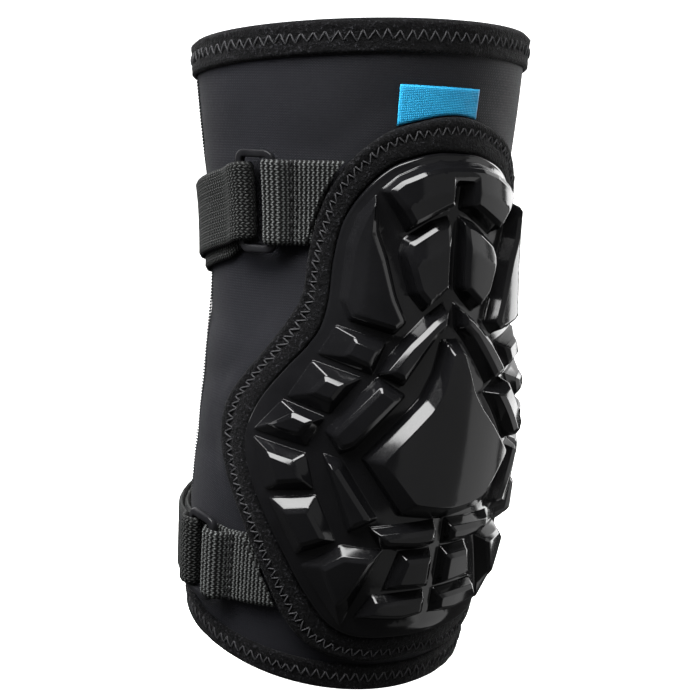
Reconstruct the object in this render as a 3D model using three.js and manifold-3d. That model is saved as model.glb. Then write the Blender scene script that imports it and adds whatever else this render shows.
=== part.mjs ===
// Baseball elbow guard, shown worn: a bent sleeve with a padded strike shell on its front.
// Millimetres. Z runs up the arm, the shell faces -Y. The origin is the bore's centre at the elbow.
import * as THREE from "three";
import Module from "manifold-3d";

const wasm = await Module();
wasm.setup();

// Sleeve: its bore follows a spine that is straight above the elbow and leans back below it
const sleeve = {
  radius: 46, // outside, at the elbow
  wall: 3,
  reach: 100, // heights are shares of this
  top: 0.995, // the upper rim's height at the sides
  bottom: -0.905,
  slope: 0.055, // how much further a rim reaches at the front
  columns: 40,
  rows: 13,
};
const elbow = { leanBack: 11.2, leanSide: 6, starts: 10, ends: -60 }; // degrees, then heights in mm
// Beside the elbow the sleeve stands further out than round: mm, then degrees round and heights
const bulge = { most: 3.8, turn: 50, turnReach: 42, up: 25, upReach: 50 };
// height is a share of sleeve.reach, radius a share of sleeve.radius
const profile = [
  { height: -1.1, radius: 0.93 },
  { height: -0.95, radius: 0.955 },
  { height: -0.8, radius: 0.985 },
  { height: -0.64, radius: 1.005 },
  { height: -0.42, radius: 1.02 },
  { height: -0.2, radius: 1.005 },
  { height: 0, radius: 0.98 },
  { height: 0.22, radius: 0.955 },
  { height: 0.45, radius: 0.98 },
  { height: 0.65, radius: 1.05 },
  { height: 0.85, radius: 1.11 },
  { height: 1, radius: 1.14 },
  { height: 1.1, radius: 1.16 },
];
const gap = 0.4; // clearance between two pieces that lie on each other
const hem = { thick: 1, gap: 0.2, topWidth: 10.5, bottomWidth: 9.5, turn: 1.2 };

// Shield: a flat chart of "out" from the centre line and "up" from the elbow is laid on the sleeve
const shield = {
  unit: sleeve.reach / 2, // out and up below are shares of this
  chartRadius: 50, // the chart is wrapped round this radius
  axis: -3.25, // where the shield's own centre line lies on the chart
  crown: 2.5, // how much further the shield stands off at the elbow
  crownTurn: 38, // degrees round
  crownReach: 38, // mm up and down
  crownAt: -12,
  rimLift: 4.4, // the shell's upper side above the sleeve, at its edge
  floorLift: 5.2, // the same in the channels
  flange: 3, // width of the sloped edge
  loop: 60, // points round each outline
  columns: 12,
  footSink: 1, // how deep a block's foot stands in the plate
  longestEdge: 12, // longer edges of a block are split, to follow the sleeve
};
const border = { thick: 3, edgeThick: 2 };
const shellOutline = [
  { out: 0, up: 1.31 },
  { out: 0.135, up: 1.305 },
  { out: 0.275, up: 1.27 },
  { out: 0.395, up: 1.22 },
  { out: 0.495, up: 1.14 },
  { out: 0.575, up: 1.05 },
  { out: 0.645, up: 0.95 },
  { out: 0.695, up: 0.84 },
  { out: 0.735, up: 0.64 },
  { out: 0.755, up: 0.4 },
  { out: 0.795, up: 0.24 },
  { out: 0.875, up: 0.12 },
  { out: 0.995, up: 0 },
  { out: 1.165, up: -0.19 },
  { out: 1.245, up: -0.35 },
  { out: 1.245, up: -0.46 },
  { out: 1.175, up: -0.62 },
  { out: 1.025, up: -0.84 },
  { out: 0.895, up: -1.02 },
  { out: 0.775, up: -1.2 },
  { out: 0.635, up: -1.38 },
  { out: 0.515, up: -1.46 },
  { out: 0.395, up: -1.49 },
  { out: 0.155, up: -1.5 },
  { out: 0, up: -1.5 },
];
const borderOutline = [
  { out: 0, up: 1.53 },
  { out: 0.11, up: 1.52 },
  { out: 0.235, up: 1.49 },
  { out: 0.395, up: 1.44 },
  { out: 0.515, up: 1.37 },
  { out: 0.655, up: 1.24 },
  { out: 0.735, up: 1.14 },
  { out: 0.815, up: 1 },
  { out: 0.875, up: 0.82 },
  { out: 0.915, up: 0.64 },
  { out: 0.935, up: 0.46 },
  { out: 0.985, up: 0.34 },
  { out: 1.155, up: 0.12 },
  { out: 1.355, up: -0.08 },
  { out: 1.475, up: -0.22 },
  { out: 1.515, up: -0.35 },
  { out: 1.495, up: -0.48 },
  { out: 1.415, up: -0.64 },
  { out: 1.215, up: -0.92 },
  { out: 1.015, up: -1.24 },
  { out: 0.935, up: -1.38 },
  { out: 0.815, up: -1.52 },
  { out: 0.675, up: -1.61 },
  { out: 0.515, up: -1.66 },
  { out: 0.315, up: -1.69 },
  { out: 0.1, up: -1.68 },
  { out: 0, up: -1.67 },
];

// Raised blocks of one side. Corners are [out, up] shares. A block without a foot gets one that
// stands out all round by blockDraft. A block that is joined reaches across the centre line.
const blockDraft = 1.5;
const middleGroove = 3.4; // least width between the feet of the two sides
const blocks = [
  { name: "arch", height: 6, joined: true, top: [
    [0, 1.23], [0.125, 1.225], [0.255, 1.19], [0.365, 1.135], [0.435, 1.07], [0.345, 0.95],
    [0.295, 0.87], [0.185, 0.935], [0.1, 0.985], [0.06, 1], [0.06, 1.15], [0, 1.15]] },
  { name: "second row", height: 5, top: [
    [0.05, 0.9], [0.145, 0.87], [0.295, 0.77], [0.315, 0.7], [0.245, 0.48], [0.175, 0.4],
    [0.105, 0.46], [0.05, 0.51]] },
  { name: "wing", height: 5, top: [
    [0.505, 1.01], [0.575, 0.9], [0.625, 0.74], [0.655, 0.42], [0.605, 0.32], [0.365, 0.25],
    [0.315, 0.3], [0.375, 0.44], [0.435, 0.66], [0.495, 0.82]] },
  { name: "side 1", height: 4, top: [[0.585, 0.2], [0.645, 0.09], [0.495, 0.03], [0.435, 0.14]],
    foot: [[0.695, 0.26], [0.795, 0.09], [0.475, -0.01], [0.395, 0.17]] },
  { name: "side 2", height: 4, top: [[0.735, -0.02], [0.835, -0.12], [0.695, -0.16], [0.615, -0.06]],
    foot: [[0.825, 0.05], [0.965, -0.15], [0.705, -0.22], [0.535, -0.03]] },
  { name: "side 3", height: 4, top: [[0.905, -0.22], [1.055, -0.3], [0.855, -0.34], [0.785, -0.255]],
    foot: [[0.995, -0.17], [1.165, -0.34], [0.825, -0.39], [0.735, -0.24]] },
  { name: "side 4", height: 4, top: [[1.055, -0.43], [0.975, -0.59], [0.815, -0.56], [0.875, -0.46]],
    foot: [[1.165, -0.38], [1.055, -0.64], [0.765, -0.6], [0.825, -0.43]] },
  { name: "side 5", height: 4, top: [[0.935, -0.71], [0.805, -0.9], [0.665, -0.84], [0.775, -0.68]],
    foot: [[1.025, -0.68], [0.835, -0.96], [0.615, -0.86], [0.745, -0.63]] },
  { name: "side 6", height: 4, top: [
    [0.565, -0.92], [0.685, -1], [0.575, -1.24], [0.525, -1.2], [0.385, -0.93]],
    foot: [[0.585, -0.88], [0.795, -1.02], [0.535, -1.4], [0.495, -1.27], [0.335, -0.9]] },
  { name: "upper arm", height: 5, top: [
    [0.05, 0.37], [0.135, 0.31], [0.275, 0.17], [0.405, 0.01], [0.305, -0.03], [0.205, 0.1],
    [0.125, 0.21], [0.05, 0.28]] },
  { name: "middle arm", height: 5.5, top: [
    [0.435, -0.06], [0.685, -0.31], [0.625, -0.38], [0.565, -0.36], [0.325, -0.12]] },
  { name: "lower arm", height: 4.5, top: [
    [0.695, -0.45], [0.535, -0.77], [0.435, -0.72], [0.635, -0.47]] },
  { name: "centre", height: 6, joined: true, top: [
    [0, 0.12], [0.03, 0.12], [0.1, -0.1], [0.155, -0.18], [0.405, -0.43], [0.215, -0.63],
    [0.1, -0.65], [0, -0.66]],
    foot: [[0, 0.17], [0.04, 0.17], [0.095, 0], [0.175, -0.14], [0.485, -0.43], [0.265, -0.69],
      [0.105, -0.71], [0, -0.72]] },
  { name: "lower bar", height: 4, top: [
    [0.05, -0.78], [0.255, -0.79], [0.385, -0.8], [0.335, -0.86], [0.155, -0.87], [0.05, -0.86]] },
  { name: "lower key", height: 4, top: [
    [0.05, -0.94], [0.215, -0.94], [0.265, -1.11], [0.05, -1.12]] },
  { name: "bottom bar", height: 3.5, top: [
    [0.05, -1.2], [0.185, -1.2], [0.355, -1.21], [0.415, -1.31], [0.185, -1.33], [0.05, -1.31]] },
];

// Two straps with a ring each. "ringAt" is how far round the ring's centre sits, on the chart
const webbing = 1.6; // thickness
const sewGap = 1; // between the border's edge and webbing that is sewn under it
const upperBelt = {
  up: sleeve.reach * 0.485, strap: 23.4, tab: 25.4, ringAt: 65.4, freeEnd: 176, ringHalf: 15.5,
  rise: 0.03, fall: 10, fallReach: 75, underFall: 4,
};
const lowerBelt = {
  up: sleeve.reach * -0.595, strap: 22.6, tab: 22.6, ringAt: 81, freeEnd: 190, ringHalf: 14.1,
  rise: 0.14, fall: 4, fallReach: 30, underFall: 0,
};
const ring = { halfLength: 6.9, bar: 2.4, thick: 2.4, low: 3, corner: 2.2 };
const label = { at: -9.2, width: 27, top: sleeve.reach * 0.85, height: 12, thick: 0.6, columns: 6 };

const colours = {
  neoprene: { color: 0x1b1c20, roughness: 0.82, metalness: 0 },
  binding: { color: 0x0d0d0e, roughness: 0.9, metalness: 0 },
  webbing: { color: 0x1c1d1d, roughness: 0.85, metalness: 0 },
  shell: { color: 0x060607, roughness: 0.16, metalness: 0 },
  ring: { color: 0x0b0b0c, roughness: 0.38, metalness: 0 },
  label: { color: 0x2aa9dc, roughness: 0.7, metalness: 0 },
};

// Sizes worked out from those above
const degree = Math.PI / 180;

function smoothStep(share) {
  const t = Math.min(1, Math.max(0, share));
  return t * t * (3 - 2 * t);
}

// A smooth curve through the rows of a table that is sorted by its first column
function curveThrough(xs, ys) {
  const slopes = xs.map((x, i) => {
    const before = Math.max(0, i - 1);
    const after = Math.min(xs.length - 1, i + 1);
    return (ys[after] - ys[before]) / (xs[after] - xs[before]);
  });
  return (x) => {
    let i = 0;
    while (i < xs.length - 2 && x > xs[i + 1]) i += 1;
    const span = xs[i + 1] - xs[i];
    const t = (x - xs[i]) / span;
    const a = (1 + 2 * t) * (1 - t) * (1 - t);
    const b = t * (1 - t) * (1 - t);
    const c = t * t * (3 - 2 * t);
    const d = t * t * (t - 1);
    return a * ys[i] + b * span * slopes[i] + c * ys[i + 1] + d * span * slopes[i + 1];
  };
}

const radiusAt = curveThrough(
  profile.map((row) => row.height * sleeve.reach),
  profile.map((row) => row.radius * sleeve.radius),
);

// The spine's direction at a height
function tangentAt(up) {
  const share = smoothStep((elbow.starts - up) / (elbow.starts - elbow.ends));
  const side = Math.tan(elbow.leanSide * degree * share);
  const back = Math.tan(elbow.leanBack * degree * share);
  return new THREE.Vector3(-side, -back, 1).normalize();
}

const spineStep = 2;
const spinePoints = new Map([[0, new THREE.Vector3()]]);
for (const way of [1, -1]) {
  for (let i = 0; i < 70; i += 1) {
    const from = spinePoints.get(i * way);
    const middle = tangentAt((i + 0.5) * way * spineStep);
    spinePoints.set((i + 1) * way, from.clone().addScaledVector(middle, way * spineStep));
  }
}

// Centre, side direction and back direction of the sleeve's section at a height
function sectionAt(up) {
  const index = Math.floor(up / spineStep);
  const share = up / spineStep - index;
  const centre = spinePoints.get(index).clone().lerp(spinePoints.get(index + 1), share);
  const along = tangentAt(up);
  const side = new THREE.Vector3(1, 0, 0).addScaledVector(along, -along.x).normalize();
  const back = along.clone().cross(side);
  return { centre, side, back };
}

function bulgeAt(turn, up) {
  const round = (1 - Math.cos(turn - bulge.turn * degree)) / (1 - Math.cos(bulge.turnReach * degree));
  const along = (up - bulge.up) / bulge.upReach;
  return bulge.most * Math.exp(-round - along * along);
}

// A point at a turn (radians, 0 at the front), a height and a lift off the sleeve's outside
function onSleeve(turn, up, lift) {
  const { centre, side, back } = sectionAt(up);
  const reach = radiusAt(up) + bulgeAt(turn, up) + lift;
  return centre
    .addScaledVector(side, reach * Math.sin(turn))
    .addScaledVector(back, -reach * Math.cos(turn));
}

function onChart(across, up, lift) {
  return onSleeve(across / shield.chartRadius, up, lift);
}

// How much further the shield stands off near the elbow
function crownAt(across, up) {
  const round = across / shield.chartRadius / degree / shield.crownTurn;
  const along = (up - shield.crownAt) / shield.crownReach;
  return shield.crown * Math.exp(-round * round - along * along);
}

// The same from the shield's own centre line
function onShieldChart(across, up, lift) {
  return onChart(across + shield.axis, up, lift);
}

function onShield(across, up, height) {
  return onShieldChart(across, up, shield.floorLift + crownAt(across, up) + height);
}

// Faces are collected by corner number, then turned outward as a whole
class Skin {
  constructor() {
    this.points = [];
    this.faces = [];
  }

  add(point) {
    this.points.push(point);
    return this.points.length - 1;
  }

  triangle(a, b, c) {
    this.faces.push([a, b, c]);
  }

  // Split along the shorter diagonal
  quad(a, b, c, d) {
    const [p, q, r, s] = [a, b, c, d].map((i) => this.points[i]);
    if (p.distanceTo(r) <= q.distanceTo(s)) {
      this.triangle(a, b, c);
      this.triangle(a, c, d);
    } else {
      this.triangle(a, b, d);
      this.triangle(b, c, d);
    }
  }

  outward() {
    let volume = 0;
    for (const [a, b, c] of this.faces) {
      volume += this.points[a].dot(this.points[b].clone().cross(this.points[c]));
    }
    if (volume < 0) this.faces = this.faces.map(([a, b, c]) => [a, c, b]);
    return this;
  }

  geometry() {
    this.outward();
    const made = new THREE.BufferGeometry();
    const flat = this.faces.flat().flatMap((i) => this.points[i].toArray());
    made.setAttribute("position", new THREE.Float32BufferAttribute(flat, 3));
    made.computeVertexNormals();
    return made;
  }

  manifold() {
    this.outward();
    return new wasm.Manifold(new wasm.Mesh({
      numProp: 3,
      vertProperties: new Float32Array(this.points.flatMap((p) => p.toArray())),
      triVerts: new Uint32Array(this.faces.flat()),
    }));
  }
}

// A closed loop of closed sections, as a tyre is
function loopOf(sections) {
  const skin = new Skin();
  const numbers = sections.map((section) => section.map((point) => skin.add(point)));
  numbers.forEach((here, i) => {
    const next = numbers[(i + 1) % numbers.length];
    here.forEach((corner, k) => {
      const other = (k + 1) % here.length;
      skin.quad(corner, here[other], next[other], next[k]);
    });
  });
  return skin;
}


// Cut every inner edge of flat triangles that is longer than allowed in two, until none is left
function refine(points, triangles, longest) {
  const middles = new Map();
  const middleOf = (a, b) => {
    const key = a < b ? `${a},${b}` : `${b},${a}`;
    if (points[a].distanceTo(points[b]) <= longest) return -1;
    if (!middles.has(key)) {
      points.push(points[a].clone().lerp(points[b], 0.5));
      middles.set(key, points.length - 1);
    }
    return middles.get(key);
  };
  const made = [];
  for (const [a, b, c] of triangles) {
    const ring = [a, middleOf(a, b), b, middleOf(b, c), c, middleOf(c, a)].filter((i) => i >= 0);
    // The fan starts at a corner whose fan leaves no flat triangle
    const start = ring.length === 4 ? ring.findIndex((i) => i !== a && i !== b && i !== c) : 0;
    const turned = [...ring.slice(start), ...ring.slice(0, start)];
    if (ring.length === 6) {
      made.push([ring[1], ring[3], ring[5]]);
      made.push([ring[5], ring[0], ring[1]]);
      made.push([ring[1], ring[2], ring[3]]);
      made.push([ring[3], ring[4], ring[5]]);
    } else if (ring.length === 5) {
      const first = ring.findIndex((i, k) => {
        const before = ring[(k + 4) % 5];
        const after = ring[(k + 1) % 5];
        return [a, b, c].includes(i) && ![a, b, c].includes(before) && ![a, b, c].includes(after);
      });
      const at = (k) => ring[(first + k + 5) % 5];
      made.push([at(-1), at(0), at(1)]);
      made.push([at(-1), at(1), at(2)]);
      made.push([at(-1), at(2), at(3)]);
    } else {
      for (let k = 1; k + 1 < turned.length; k += 1) {
        made.push([turned[0], turned[k], turned[k + 1]]);
      }
    }
  }
  return middles.size ? refine(points, made, longest) : made;
}

// A stack of like outlines, closed at both ends. Holes run the other way round than the outline.
// place(point, layer) puts a flat point of a layer in space. The first points of an outline,
// as many as strip says, face the last ones, and the caps run across between them
function stackOf(layers, place, { strip = 0, longest = Infinity } = {}) {
  const skin = new Skin();
  const flat = (points) => points.map(([x, y]) => new THREE.Vector2(x, y));
  const loops = [layers[0].outline, ...(layers[0].holes ?? [])].map((loop) => loop.length);
  const numbers = layers.map((layer, i) => (
    [...layer.outline, ...(layer.holes ?? []).flat()].map((point) => skin.add(place(point, i)))
  ));
  for (let i = 0; i + 1 < numbers.length; i += 1) {
    let start = 0;
    for (const size of loops) {
      for (let k = 0; k < size; k += 1) {
        const a = start + k;
        const b = start + ((k + 1) % size);
        skin.quad(numbers[i][a], numbers[i][b], numbers[i + 1][b], numbers[i + 1][a]);
      }
      start += size;
    }
  }
  for (const i of [0, layers.length - 1]) {
    const whole = numbers[i];
    const round = layers[i].outline.length;
    for (let k = 0; k < strip; k += 1) {
      const corners = [k, k + 1, round - 2 - k, round - 1 - k].map((at) => whole[at]);
      if (k + 1 < round - 2 - k) skin.quad(...(i ? corners : corners.reverse()));
    }
    const outline = flat(layers[i].outline.slice(strip, round - strip));
    if (outline.length < 3) continue;
    const holes = (layers[i].holes ?? []).map(flat);
    const points = [...outline, ...holes.flat()];
    const caps = refine(points, THREE.ShapeUtils.triangulateShape(outline, holes), longest);
    const corners = [...whole.slice(strip, round - strip), ...whole.slice(round)];
    for (const point of points.slice(corners.length)) {
      corners.push(skin.add(place(point.toArray(), i)));
    }
    const areas = caps.map((cap) => THREE.ShapeUtils.area(cap.map((corner) => points[corner])));
    const turn = areas.reduce((sum, area) => sum + area, 0);
    const isSame = turn * THREE.ShapeUtils.area(outline) * (i ? 1 : -1) > 0;
    for (const [a, b, c] of caps) {
      if (isSame) skin.triangle(corners[a], corners[b], corners[c]);
      else skin.triangle(corners[a], corners[c], corners[b]);
    }
  }
  return skin;
}

// A closed sheet between two grids of points of the same size
function sheetOf(upper, lower) {
  const skin = new Skin();
  const high = upper.map((row) => row.map((point) => skin.add(point)));
  const low = lower.map((row) => row.map((point) => skin.add(point)));
  const lastRow = high.length - 1;
  const lastColumn = high[0].length - 1;
  for (let i = 0; i < lastRow; i += 1) {
    for (let k = 0; k < lastColumn; k += 1) {
      skin.quad(high[i][k], high[i][k + 1], high[i + 1][k + 1], high[i + 1][k]);
      skin.quad(low[i][k], low[i + 1][k], low[i + 1][k + 1], low[i][k + 1]);
    }
    skin.quad(high[i][0], high[i + 1][0], low[i + 1][0], low[i][0]);
    skin.quad(high[i][lastColumn], low[i][lastColumn], low[i + 1][lastColumn],
      high[i + 1][lastColumn]);
  }
  for (let k = 0; k < lastColumn; k += 1) {
    skin.quad(high[0][k], low[0][k], low[0][k + 1], high[0][k + 1]);
    skin.quad(high[lastRow][k], high[lastRow][k + 1], low[lastRow][k + 1], low[lastRow][k]);
  }
  return skin;
}

const group = new THREE.Group();
group.name = "baseball_elbow_guard";

function addPiece(name, geometry, look) {
  const piece = new THREE.Mesh(geometry, new THREE.MeshStandardMaterial(look));
  piece.name = name;
  group.add(piece);
}

// Sleeve and the two hems folded over its rims
const rimTop = (turn) => sleeve.reach * (sleeve.top + sleeve.slope * Math.cos(turn));
const rimBottom = (turn) => sleeve.reach * (sleeve.bottom - sleeve.slope * Math.cos(turn));
const turns = Array.from({ length: sleeve.columns }, (_, i) => (
  (i / sleeve.columns) * 2 * Math.PI
));
const rowShares = Array.from({ length: sleeve.rows + 1 }, (_, i) => i / sleeve.rows);

function sleeveSection(turn) {
  const inset = hem.turn + hem.gap;
  const low = rimBottom(turn) + inset;
  const high = rimTop(turn) - inset;
  const outside = rowShares.map((share) => onSleeve(turn, low + share * (high - low), 0));
  const inside = rowShares.map((share) => (
    onSleeve(turn, high + share * (low - high), -sleeve.wall)
  ));
  return [...outside, ...inside];
}

function hemSection(turn, edge, way, width) {
  const outer = hem.gap + hem.thick;
  const inner = -sleeve.wall - outer;
  const soft = hem.thick * 0.6;
  const corners = [
    [hem.gap, width], [outer, width], [outer, soft], [outer - soft, 0], [inner + soft, 0],
    [inner, soft], [inner, width], [-sleeve.wall - hem.gap, width],
    [-sleeve.wall - hem.gap, hem.turn], [hem.gap, hem.turn],
  ];
  return corners.map(([lift, down]) => onSleeve(turn, edge - way * down, lift));
}

addPiece("sleeve", loopOf(turns.map(sleeveSection)).geometry(), colours.neoprene);
addPiece("top_hem", loopOf(turns.map((turn) => (
  hemSection(turn, rimTop(turn), 1, hem.topWidth)
))).geometry(), colours.binding);
addPiece("bottom_hem", loopOf(turns.map((turn) => (
  hemSection(turn, rimBottom(turn), -1, hem.bottomWidth)
))).geometry(), colours.binding);

// One side of an outline as [across, up] points at even steps, then its mirror image
function closedOutline(table) {
  const lengths = [0];
  for (let i = 1; i < table.length; i += 1) {
    const step = Math.hypot(table[i].out - table[i - 1].out, table[i].up - table[i - 1].up);
    lengths.push(lengths[i - 1] + step);
  }
  const outAt = curveThrough(lengths, table.map((row) => row.out * shield.unit));
  const upAt = curveThrough(lengths, table.map((row) => row.up * shield.unit));
  const half = shield.loop / 2;
  const side = Array.from({ length: half + 1 }, (_, i) => {
    const at = (i / half) * lengths[lengths.length - 1];
    return [outAt(at), upAt(at)];
  });
  return [
    ...side.map(([out, up]) => [-out, up]),
    ...side.slice(1, -1).reverse(),
  ];
}

// The same closed outline, moved outward by a distance
function outset(outline, distance) {
  const area = THREE.ShapeUtils.area(outline.map(([x, y]) => new THREE.Vector2(x, y)));
  const way = area > 0 ? 1 : -1;
  const normal = ([ax, ay], [bx, by]) => {
    const length = Math.hypot(bx - ax, by - ay);
    return [(way * (by - ay)) / length, (-way * (bx - ax)) / length];
  };
  return outline.map((point, i) => {
    const before = normal(outline[(i + outline.length - 1) % outline.length], point);
    const after = normal(point, outline[(i + 1) % outline.length]);
    const scale = distance / Math.max(0.5, 1 + before[0] * after[0] + before[1] * after[1]);
    return [point[0] + scale * (before[0] + after[0]), point[1] + scale * (before[1] + after[1])];
  });
}

const shellEdge = closedOutline(shellOutline);
const borderInner = outset(shellEdge, gap);
const borderOuter = closedOutline(borderOutline);

// Padded border: a flat ring round the shell
function borderSection(i) {
  const [innerAcross, innerUp] = borderInner[i];
  const [outerAcross, outerUp] = borderOuter[i];
  const at = (share, lift) => onShieldChart(
    innerAcross + share * (outerAcross - innerAcross),
    innerUp + share * (outerUp - innerUp),
    lift,
  );
  return [
    at(0, gap), at(0.5, gap), at(1, gap),
    at(1, border.edgeThick), at(0.85, border.thick), at(0.4, border.thick), at(0, border.thick),
  ];
}

addPiece("pad_border", loopOf(borderInner.map((_, i) => borderSection(i))).geometry(),
  colours.binding);

// Shell: a curved plate with a sloped edge, and the blocks standing on it
function plateGrid(isTop) {
  const rows = shellEdge.slice(1, shield.loop / 2);
  return rows.map(([across, up]) => {
    const half = Math.abs(across);
    const edge = Math.min(0.4, shield.flange / half);
    return Array.from({ length: shield.columns + 1 }, (_, k) => {
      const isRim = k === 0 || k === shield.columns;
      const share = (2 * (k - 1)) / (shield.columns - 2) - 1;
      const at = isRim ? Math.sign(k - 1) * half : share * (1 - edge) * half;
      const lift = (isRim ? shield.rimLift : shield.floorLift) + crownAt(at, up);
      return onShieldChart(at, up, isTop ? lift : gap);
    });
  });
}

function sized(corners) {
  return corners.map(([out, up]) => [out * shield.unit, up * shield.unit]);
}

// Split the edges of a foot and its top alike
function splitEdges(foot, top, longest) {
  const made = { foot: [], top: [] };
  foot.forEach((corner, i) => {
    const next = (i + 1) % foot.length;
    const length = Math.hypot(foot[next][0] - corner[0], foot[next][1] - corner[1]);
    const parts = Math.ceil(length / longest);
    for (let k = 0; k < parts; k += 1) {
      for (const [name, loop] of [["foot", foot], ["top", top]]) {
        made[name].push([0, 1].map((axis) => (
          loop[i][axis] + (k / parts) * (loop[next][axis] - loop[i][axis])
        )));
      }
    }
  });
  return made;
}

function blockSolid(block, side) {
  const mirror = (corners) => corners.map(([out, up]) => [side * out, up]);
  const across = (corners) => [
    ...corners,
    ...corners.slice(1, -1).reverse().map(([out, up]) => [-out, up]),
  ];
  const whole = (corners) => (block.joined ? across(sized(corners)) : mirror(sized(corners)));
  const top = whole(block.top);
  const clear = block.joined ? -Infinity : middleGroove / 2;
  const foot = block.foot
    ? whole(block.foot)
    : outset(top, blockDraft).map(([x, y]) => [side * Math.max(side * x, clear), y]);
  const split = splitEdges(foot, top, shield.longestEdge);
  const heights = [-shield.footSink, block.height];
  const layers = [{ outline: split.foot }, { outline: split.top }];
  const place = ([x, y], layer) => onShield(x, y, heights[layer]);
  return stackOf(layers, place, { longest: shield.longestEdge * 1.2 }).manifold();
}

let shell = sheetOf(plateGrid(true), plateGrid(false)).manifold();
for (const block of blocks) {
  for (const side of block.joined ? [1] : [-1, 1]) {
    shell = shell.add(blockSolid(block, side));
  }
}
const joined = shell.getMesh();
const shellGeometry = new THREE.BufferGeometry();
shellGeometry.setAttribute("position",
  new THREE.Float32BufferAttribute(joined.vertProperties, 3));
shellGeometry.setIndex(Array.from(joined.triVerts));
shellGeometry.computeVertexNormals();
addPiece("impact_shell", shellGeometry, colours.shell);

// The border's edge on the chart at a height, on the side -1 or 1
function borderEdgeAt(up, way) {
  const side = borderOuter.slice(0, shield.loop / 2 + 1);
  const after = side.findIndex((point, i) => i > 0 && point[1] <= up);
  const [[x0, y0], [x1, y1]] = [side[after - 1], side[after]];
  return way * Math.abs(x0 + ((up - y0) / (y1 - y0)) * (x1 - x0)) + shield.axis;
}

// The border's upper edge at a place across the chart
function borderTopAt(across) {
  const out = Math.abs(across - shield.axis);
  const side = borderOuter.slice(0, shield.loop / 4);
  const after = side.findIndex((point, i) => i > 0 && -point[0] >= out);
  const [[x0, y0], [x1, y1]] = [side[after - 1], side[after]];
  return y0 + ((out + x0) / (x0 - x1)) * (y1 - y0);
}

const round = 2 * Math.PI * shield.chartRadius;

// The height of a belt's middle: it rises from the ring to the border and falls towards the back,
// and the layer that lies on the sleeve falls further
function beltUpAt(belt, across, lift) {
  const ahead = Math.max(0, across + belt.ringAt - 1.4 * ring.halfLength);
  const start = borderEdgeAt(belt.up, 1) + sewGap - round;
  const past = -across - belt.ringAt - 0.65 * ring.halfLength;
  const behind = Math.max(0, Math.min(past, across - start));
  const over = smoothStep((lift - gap - webbing) / gap);
  const fall = belt.fall * Math.sin((Math.PI / 2) * Math.min(1, behind / belt.fallReach));
  const further = belt.underFall * (1 - over) * smoothStep(behind / (2 * ring.halfLength));
  return belt.up + belt.rise * ahead - fall - further;
}

// Ring: a rounded rectangle round the slot, with a chamfered bar
function ringSolid(belt) {
  const path = [];
  const inset = ring.bar / 2;
  const halfAcross = ring.halfLength - inset - ring.corner;
  const halfUp = belt.ringHalf - inset - ring.corner;
  for (const [sideX, sideY] of [[1, 1], [-1, 1], [-1, -1], [1, -1]]) {
    const start = Math.atan2(sideY, sideX) - Math.PI / 4;
    for (const share of [0, 0.5, 1]) {
      const turn = start + share * (Math.PI / 2);
      const normal = [Math.cos(turn), Math.sin(turn)];
      path.push({ at: [sideX * halfAcross, sideY * halfUp], normal, corner: ring.corner });
    }
    if (sideX !== sideY) {
      for (const share of [0.33, -0.33]) {
        const at = [sideX * (halfAcross + ring.corner), sideY * share * halfUp];
        path.push({ at, normal: [sideX, 0], corner: 0 });
      }
    }
  }
  const chamfer = ring.bar * 0.25;
  const half = ring.bar / 2;
  const section = [
    [-half, chamfer], [-half, ring.thick - chamfer], [-half + chamfer, ring.thick],
    [half - chamfer, ring.thick], [half, ring.thick - chamfer], [half, chamfer],
    [half - chamfer, 0], [-half + chamfer, 0],
  ];
  return loopOf(path.map(({ at, normal, corner }) => section.map(([off, high]) => onChart(
    -belt.ringAt + at[0] + normal[0] * (corner + off),
    belt.up + at[1] + normal[1] * (corner + off),
    ring.low + high,
  ))));
}

// Points between two places on the chart, close enough to follow the sleeve's roundness
function stepsBetween(from, to, lift) {
  return inParts(from, to, lift, Math.ceil(Math.abs(to - from) / 7.8));
}

function inParts(from, to, lift, count) {
  return Array.from({ length: count + 1 }, (_, i) => [from + (i / count) * (to - from), lift]);
}

// Strap: from the border's right edge round the back, up through the ring and back over itself
function strapSolid(belt) {
  const half = webbing / 2;
  const under = gap + half;
  const over = under + webbing + gap;
  const barOuter = -belt.ringAt - ring.halfLength;
  const barInner = barOuter + ring.bar;
  const high = ring.low + ring.thick;
  const startAt = (up) => borderEdgeAt(up, 1) + sewGap - round;
  const centreLine = [
    ...stepsBetween(startAt(belt.up) + ring.halfLength * 3, barOuter - ring.bar * 2, under),
    [barOuter - 0.5, under + 0.1], [barInner - 0.2, under + 0.3], [barInner + 1.5, under + 1.2],
    [barInner + 2, (under + high) / 2 + 0.8], [barInner + 1.5, high + 0.5],
    [barInner, high + half + 0.5], [barOuter, high + half + 0.5], [barOuter - 2.3, high + 0.6],
    [barOuter - ring.bar * 1.9, over + 1.4], [barOuter - ring.bar * 3.1, over + 0.3],
    ...stepsBetween(barOuter - ring.bar * 4.6, -belt.freeEnd, over),
  ];
  const sideOf = (way) => centreLine.map((point, i) => {
    const before = centreLine[Math.max(0, i - 1)];
    const after = centreLine[Math.min(centreLine.length - 1, i + 1)];
    const length = Math.hypot(after[0] - before[0], after[1] - before[1]);
    return [
      point[0] - (way * half * (after[1] - before[1])) / length,
      point[1] + (way * half * (after[0] - before[0])) / length,
    ];
  });
  const offs = [-0.5, 0, 0.5].map((share) => share * belt.strap);
  const layers = offs.map((off) => belt.up + off).map((up) => ({
    outline: [
      ...inParts(startAt(up), centreLine[0][0], under - half, 4).slice(0, -1), ...sideOf(-1),
      ...sideOf(1).reverse(),
      ...inParts(centreLine[0][0], startAt(up), under + half, 4).slice(1),
    ],
  }));
  const place = ([across, lift], layer) => (
    onChart(across, beltUpAt(belt, across, lift) + offs[layer], lift)
  );
  return stackOf(layers, place, { strip: layers[0].outline.length / 2 - 1 });
}

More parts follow.
